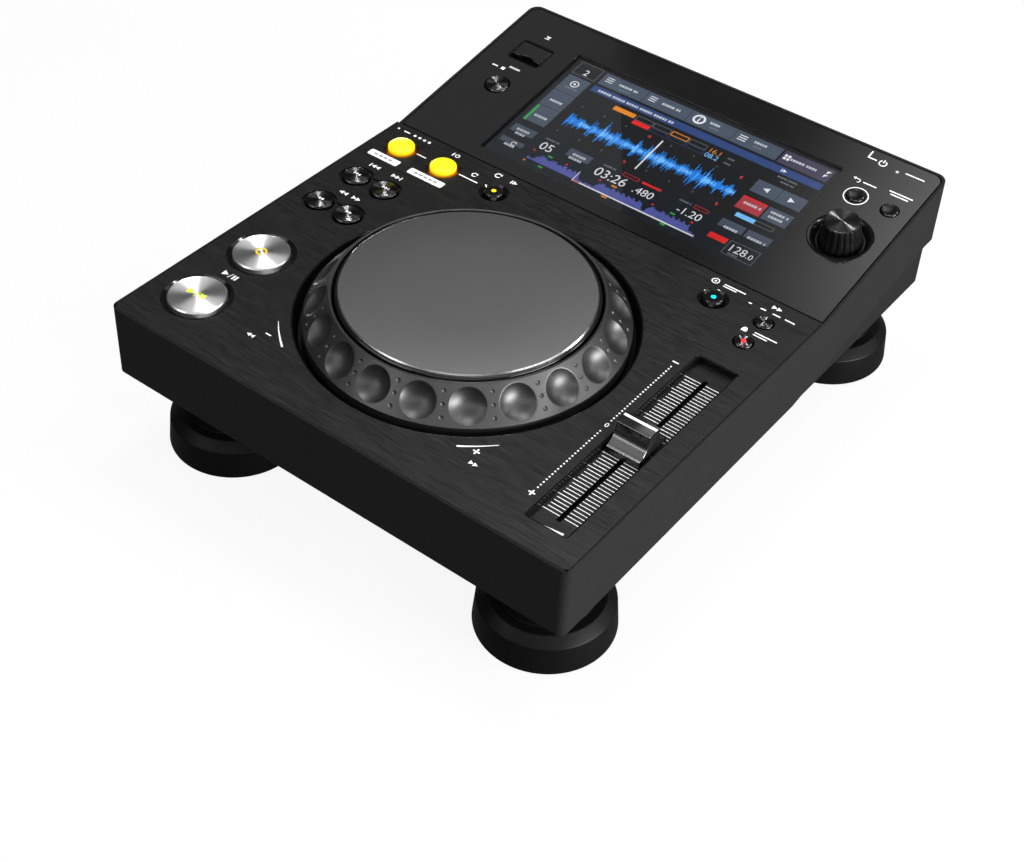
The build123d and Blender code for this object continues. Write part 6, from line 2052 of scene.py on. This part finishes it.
@dataclass
class Lamp:
    """A soft box: place, what it faces, two sides, brightness, turn about its axis and share of soft edge.

    Places and sides are in metres.
    """

    name: str
    place: Triple
    aim: Triple
    sides: Pair
    bright: float
    spin: float = 0.0
    fade: float = 0.0

    def build(self) -> None:
        """Makes the area lamp; its power is brightness times pi times its area."""
        data = bpy.data.lights.new(self.name, "AREA")
        data.shape = "RECTANGLE"
        data.size, data.size_y = self.sides
        data.energy = self.bright * math.pi * self.sides[0] * self.sides[1]
        if self.fade:
            self.soften(data)
        lamp = bpy.data.objects.new(self.name, data)
        facing = (Vector(self.aim) - Vector(self.place)).to_track_quat("-Z", "Y").to_matrix().to_4x4()
        spin = Matrix.Rotation(math.radians(self.spin), 4, "Z")
        lamp.matrix_world = Matrix.Translation(self.place) @ facing @ spin
        bpy.context.scene.collection.objects.link(lamp)

    def soften(self, data: bpy.types.AreaLight) -> None:
        """Lets the brightness rise smoothly from each edge of the box.

        Args:
            data: The lamp's data.
        """
        data.use_nodes = True
        nodes = NodeTree(data.node_tree)
        face = nodes.node("NewGeometry").outputs["Parametric"]
        place = nodes.node("SeparateXYZ", {0: face})
        across, along = (
            way.step(0.0, self.fade) * (1.0 - way.step(1.0 - self.fade, 1.0))
            for way in (Wire(nodes, place.outputs[axis]) for axis in (0, 1))
        )
        level = across * along
        nodes.tree.links.new(level.socket, nodes.tree.nodes["Emission"].inputs["Strength"])


@dataclass
class Studio:
    """Camera at the photograph's angle, soft boxes, pale floor and white surround."""

    image: tuple[int, int] = (1024, 862)
    focal_px: float = 1797.74
    centre_px: Pair = (530.17, 341.84)
    eye: Triple = (364.79, -532.46, 573.74)
    pan: float = 34.89
    dip: float = 40.09
    roll: float = 3.447
    sensor: float = 36.0
    floor_half: float = 6.0
    floor_dark: float = 0.06
    floor_pale: float = 0.8
    seen_floor: float = 0.9
    floor_fade: Pair = (400.0, 1500.0)
    gloss_floor: float = 0.1
    gloss_world: float = 0.07
    fill: float = 0.04
    lamps: tuple[Lamp, ...] = (
        Lamp("overhead", (-0.1, -0.05, 1.3), (-0.1, -0.05, 0.0), (1.0, 0.7), 0.65, 0.0, 0.2),
        Lamp("glint", (-0.14, 0.16, 1.25), (-0.14, 0.16, 0.0), (0.36, 0.05), 110.0, 48.0),
        Lamp("knob_glint", (0.42, 0.48, 1.2), (0.09, 0.07, 0.1), (0.08, 0.08), 150.0),
        Lamp("edge", (0.95, 0.85, 0.7), (0.0, 0.0, 0.1), (0.3, 0.3), 10.0),
        Lamp("cap_band", (-0.36, -1.09, 0.66), (0.1, -0.07, 0.09), (0.5, 0.14), 9.0),
        Lamp("left_high", (-0.5, -0.62, 1.03), (0.0, -0.05, 0.09), (0.8, 0.8), 1.6),
        Lamp("right_high", (0.78, 0.12, 1.05), (0.0, -0.05, 0.09), (0.8, 0.8), 1.6),
        Lamp("behind_right", (0.0, 0.85, 1.1), (0.0, 0.85, 0.0), (0.9, 0.9), 1.7, 0.0, 0.4),
        Lamp("left_card", (-0.886, 0.51, 1.1), (-0.886, 0.51, 0.0), (1.6, 0.7), 0.14, -54.7),
        Lamp("right", (1.2, -0.05, 0.24), (0.0, -0.05, 0.1), (0.8, 0.36), 33.0),
        Lamp("behind_low", (-0.85, 0.95, 0.04), (0.0, 0.1, 0.04), (1.0, 0.06), 80.0),
        Lamp("by_camera", (0.58, -0.98, 0.9), (0.03, -0.1, 0.08), (1.1, 0.35), 3.1),
    )

    def camera(self) -> None:
        """Places the camera: pan about Z, dip under the horizon, then roll about its own axis."""
        data = bpy.data.cameras.new("photo_view")
        data.sensor_fit = "HORIZONTAL"
        data.sensor_width = self.sensor
        data.lens = self.focal_px * self.sensor / self.image[0]
        data.shift_x = (self.image[0] / 2 - self.centre_px[0]) / self.image[0]
        data.shift_y = (self.centre_px[1] - self.image[1] / 2) / self.image[0]
        data.clip_end = 50.0
        camera = bpy.data.objects.new("photo_view", data)
        turn = Matrix.Rotation(math.radians(self.pan), 4, "Z")
        turn = turn @ Matrix.Rotation(math.radians(90.0 - self.dip), 4, "X")
        turn = turn @ Matrix.Rotation(math.radians(self.roll), 4, "Z")
        camera.matrix_world = Matrix.Translation(Vector(self.eye) * MM) @ turn
        bpy.context.scene.collection.objects.link(camera)
        bpy.context.scene.camera = camera

    def floor(self) -> None:
        """A wide pale floor: white to the camera, dim in reflections, and clear from below.

        It keeps a share of the part's shadow near by, and fades to full white with distance.
        """
        half = self.floor_half / MM
        mesh = bpy.data.meshes.new("floor")
        corners = GROUND.at([-half, half, half, -half], [-half, -half, half, half], 0.0) * MM
        mesh.from_pydata(corners.tolist(), [], [(0, 1, 2, 3)])
        shader = Shader("floor_white", Roughness=0.9, Specular_IOR_Level=0.0)
        camera = shader.light_path("Is Camera Ray")
        cloud = shader.noise(300.0, 2.0)
        share = camera * (0.95 + cloud * 0.1)
        shader.feed(Base_Color=shader.blend(share, grey(self.floor_dark), grey(self.floor_pale)))
        white = shader.node("Emission", {"Color": grey(1.0), "Strength": 1.0})
        x, y, _ = shader.reach(GROUND)
        far = (x * x + y * y).root().step(*self.floor_fade)
        seen = camera * (self.seen_floor + far * (1.0 - self.seen_floor))
        pale = shader.mixed(seen + shader.mirrored() * self.gloss_floor, shader.skin, white)
        below = shader.node("NewGeometry").outputs["Backfacing"]
        clear = shader.node("BsdfTransparent")
        shader.show(shader.mixed(below, pale, clear))
        mesh.materials.append(shader.made)
        floor = bpy.data.objects.new("floor", mesh)
        bpy.context.scene.collection.objects.link(floor)

    def surround(self) -> None:
        """White to the camera, dim in reflections, and a dim even fill otherwise."""
        world = bpy.data.worlds.new("surround")
        world.use_nodes = True
        nodes = NodeTree(world.node_tree)
        seen = nodes.light_path("Is Camera Ray") * (1.0 - self.fill)
        level = seen + nodes.mirrored() * (self.gloss_world - self.fill) + self.fill
        nodes.tree.links.new(level.socket, nodes.tree.nodes["Background"].inputs["Strength"])
        nodes.tree.nodes["Background"].inputs["Color"].default_value = (1.0, 1.0, 1.0, 1.0)
        bpy.context.scene.world = world

    def build(self) -> None:
        """Sets up the whole studio."""
        self.camera()
        self.floor()
        self.surround()
        for lamp in self.lamps:
            lamp.build()
        bpy.context.scene.view_settings.view_transform = "Standard"


def main() -> None:
    """Builds every sub-assembly and the studio."""
    logging.basicConfig(level=logging.INFO, format="%(name)s %(message)s")
    for kind in (Case, JogWheel, Keys, Fader, Selector, Screen, Printing, Feet, Rear, Inside, Studio):
        LOG.info("building %s", kind.__name__)
        kind().build()


if __name__ == "__main__":
    main()
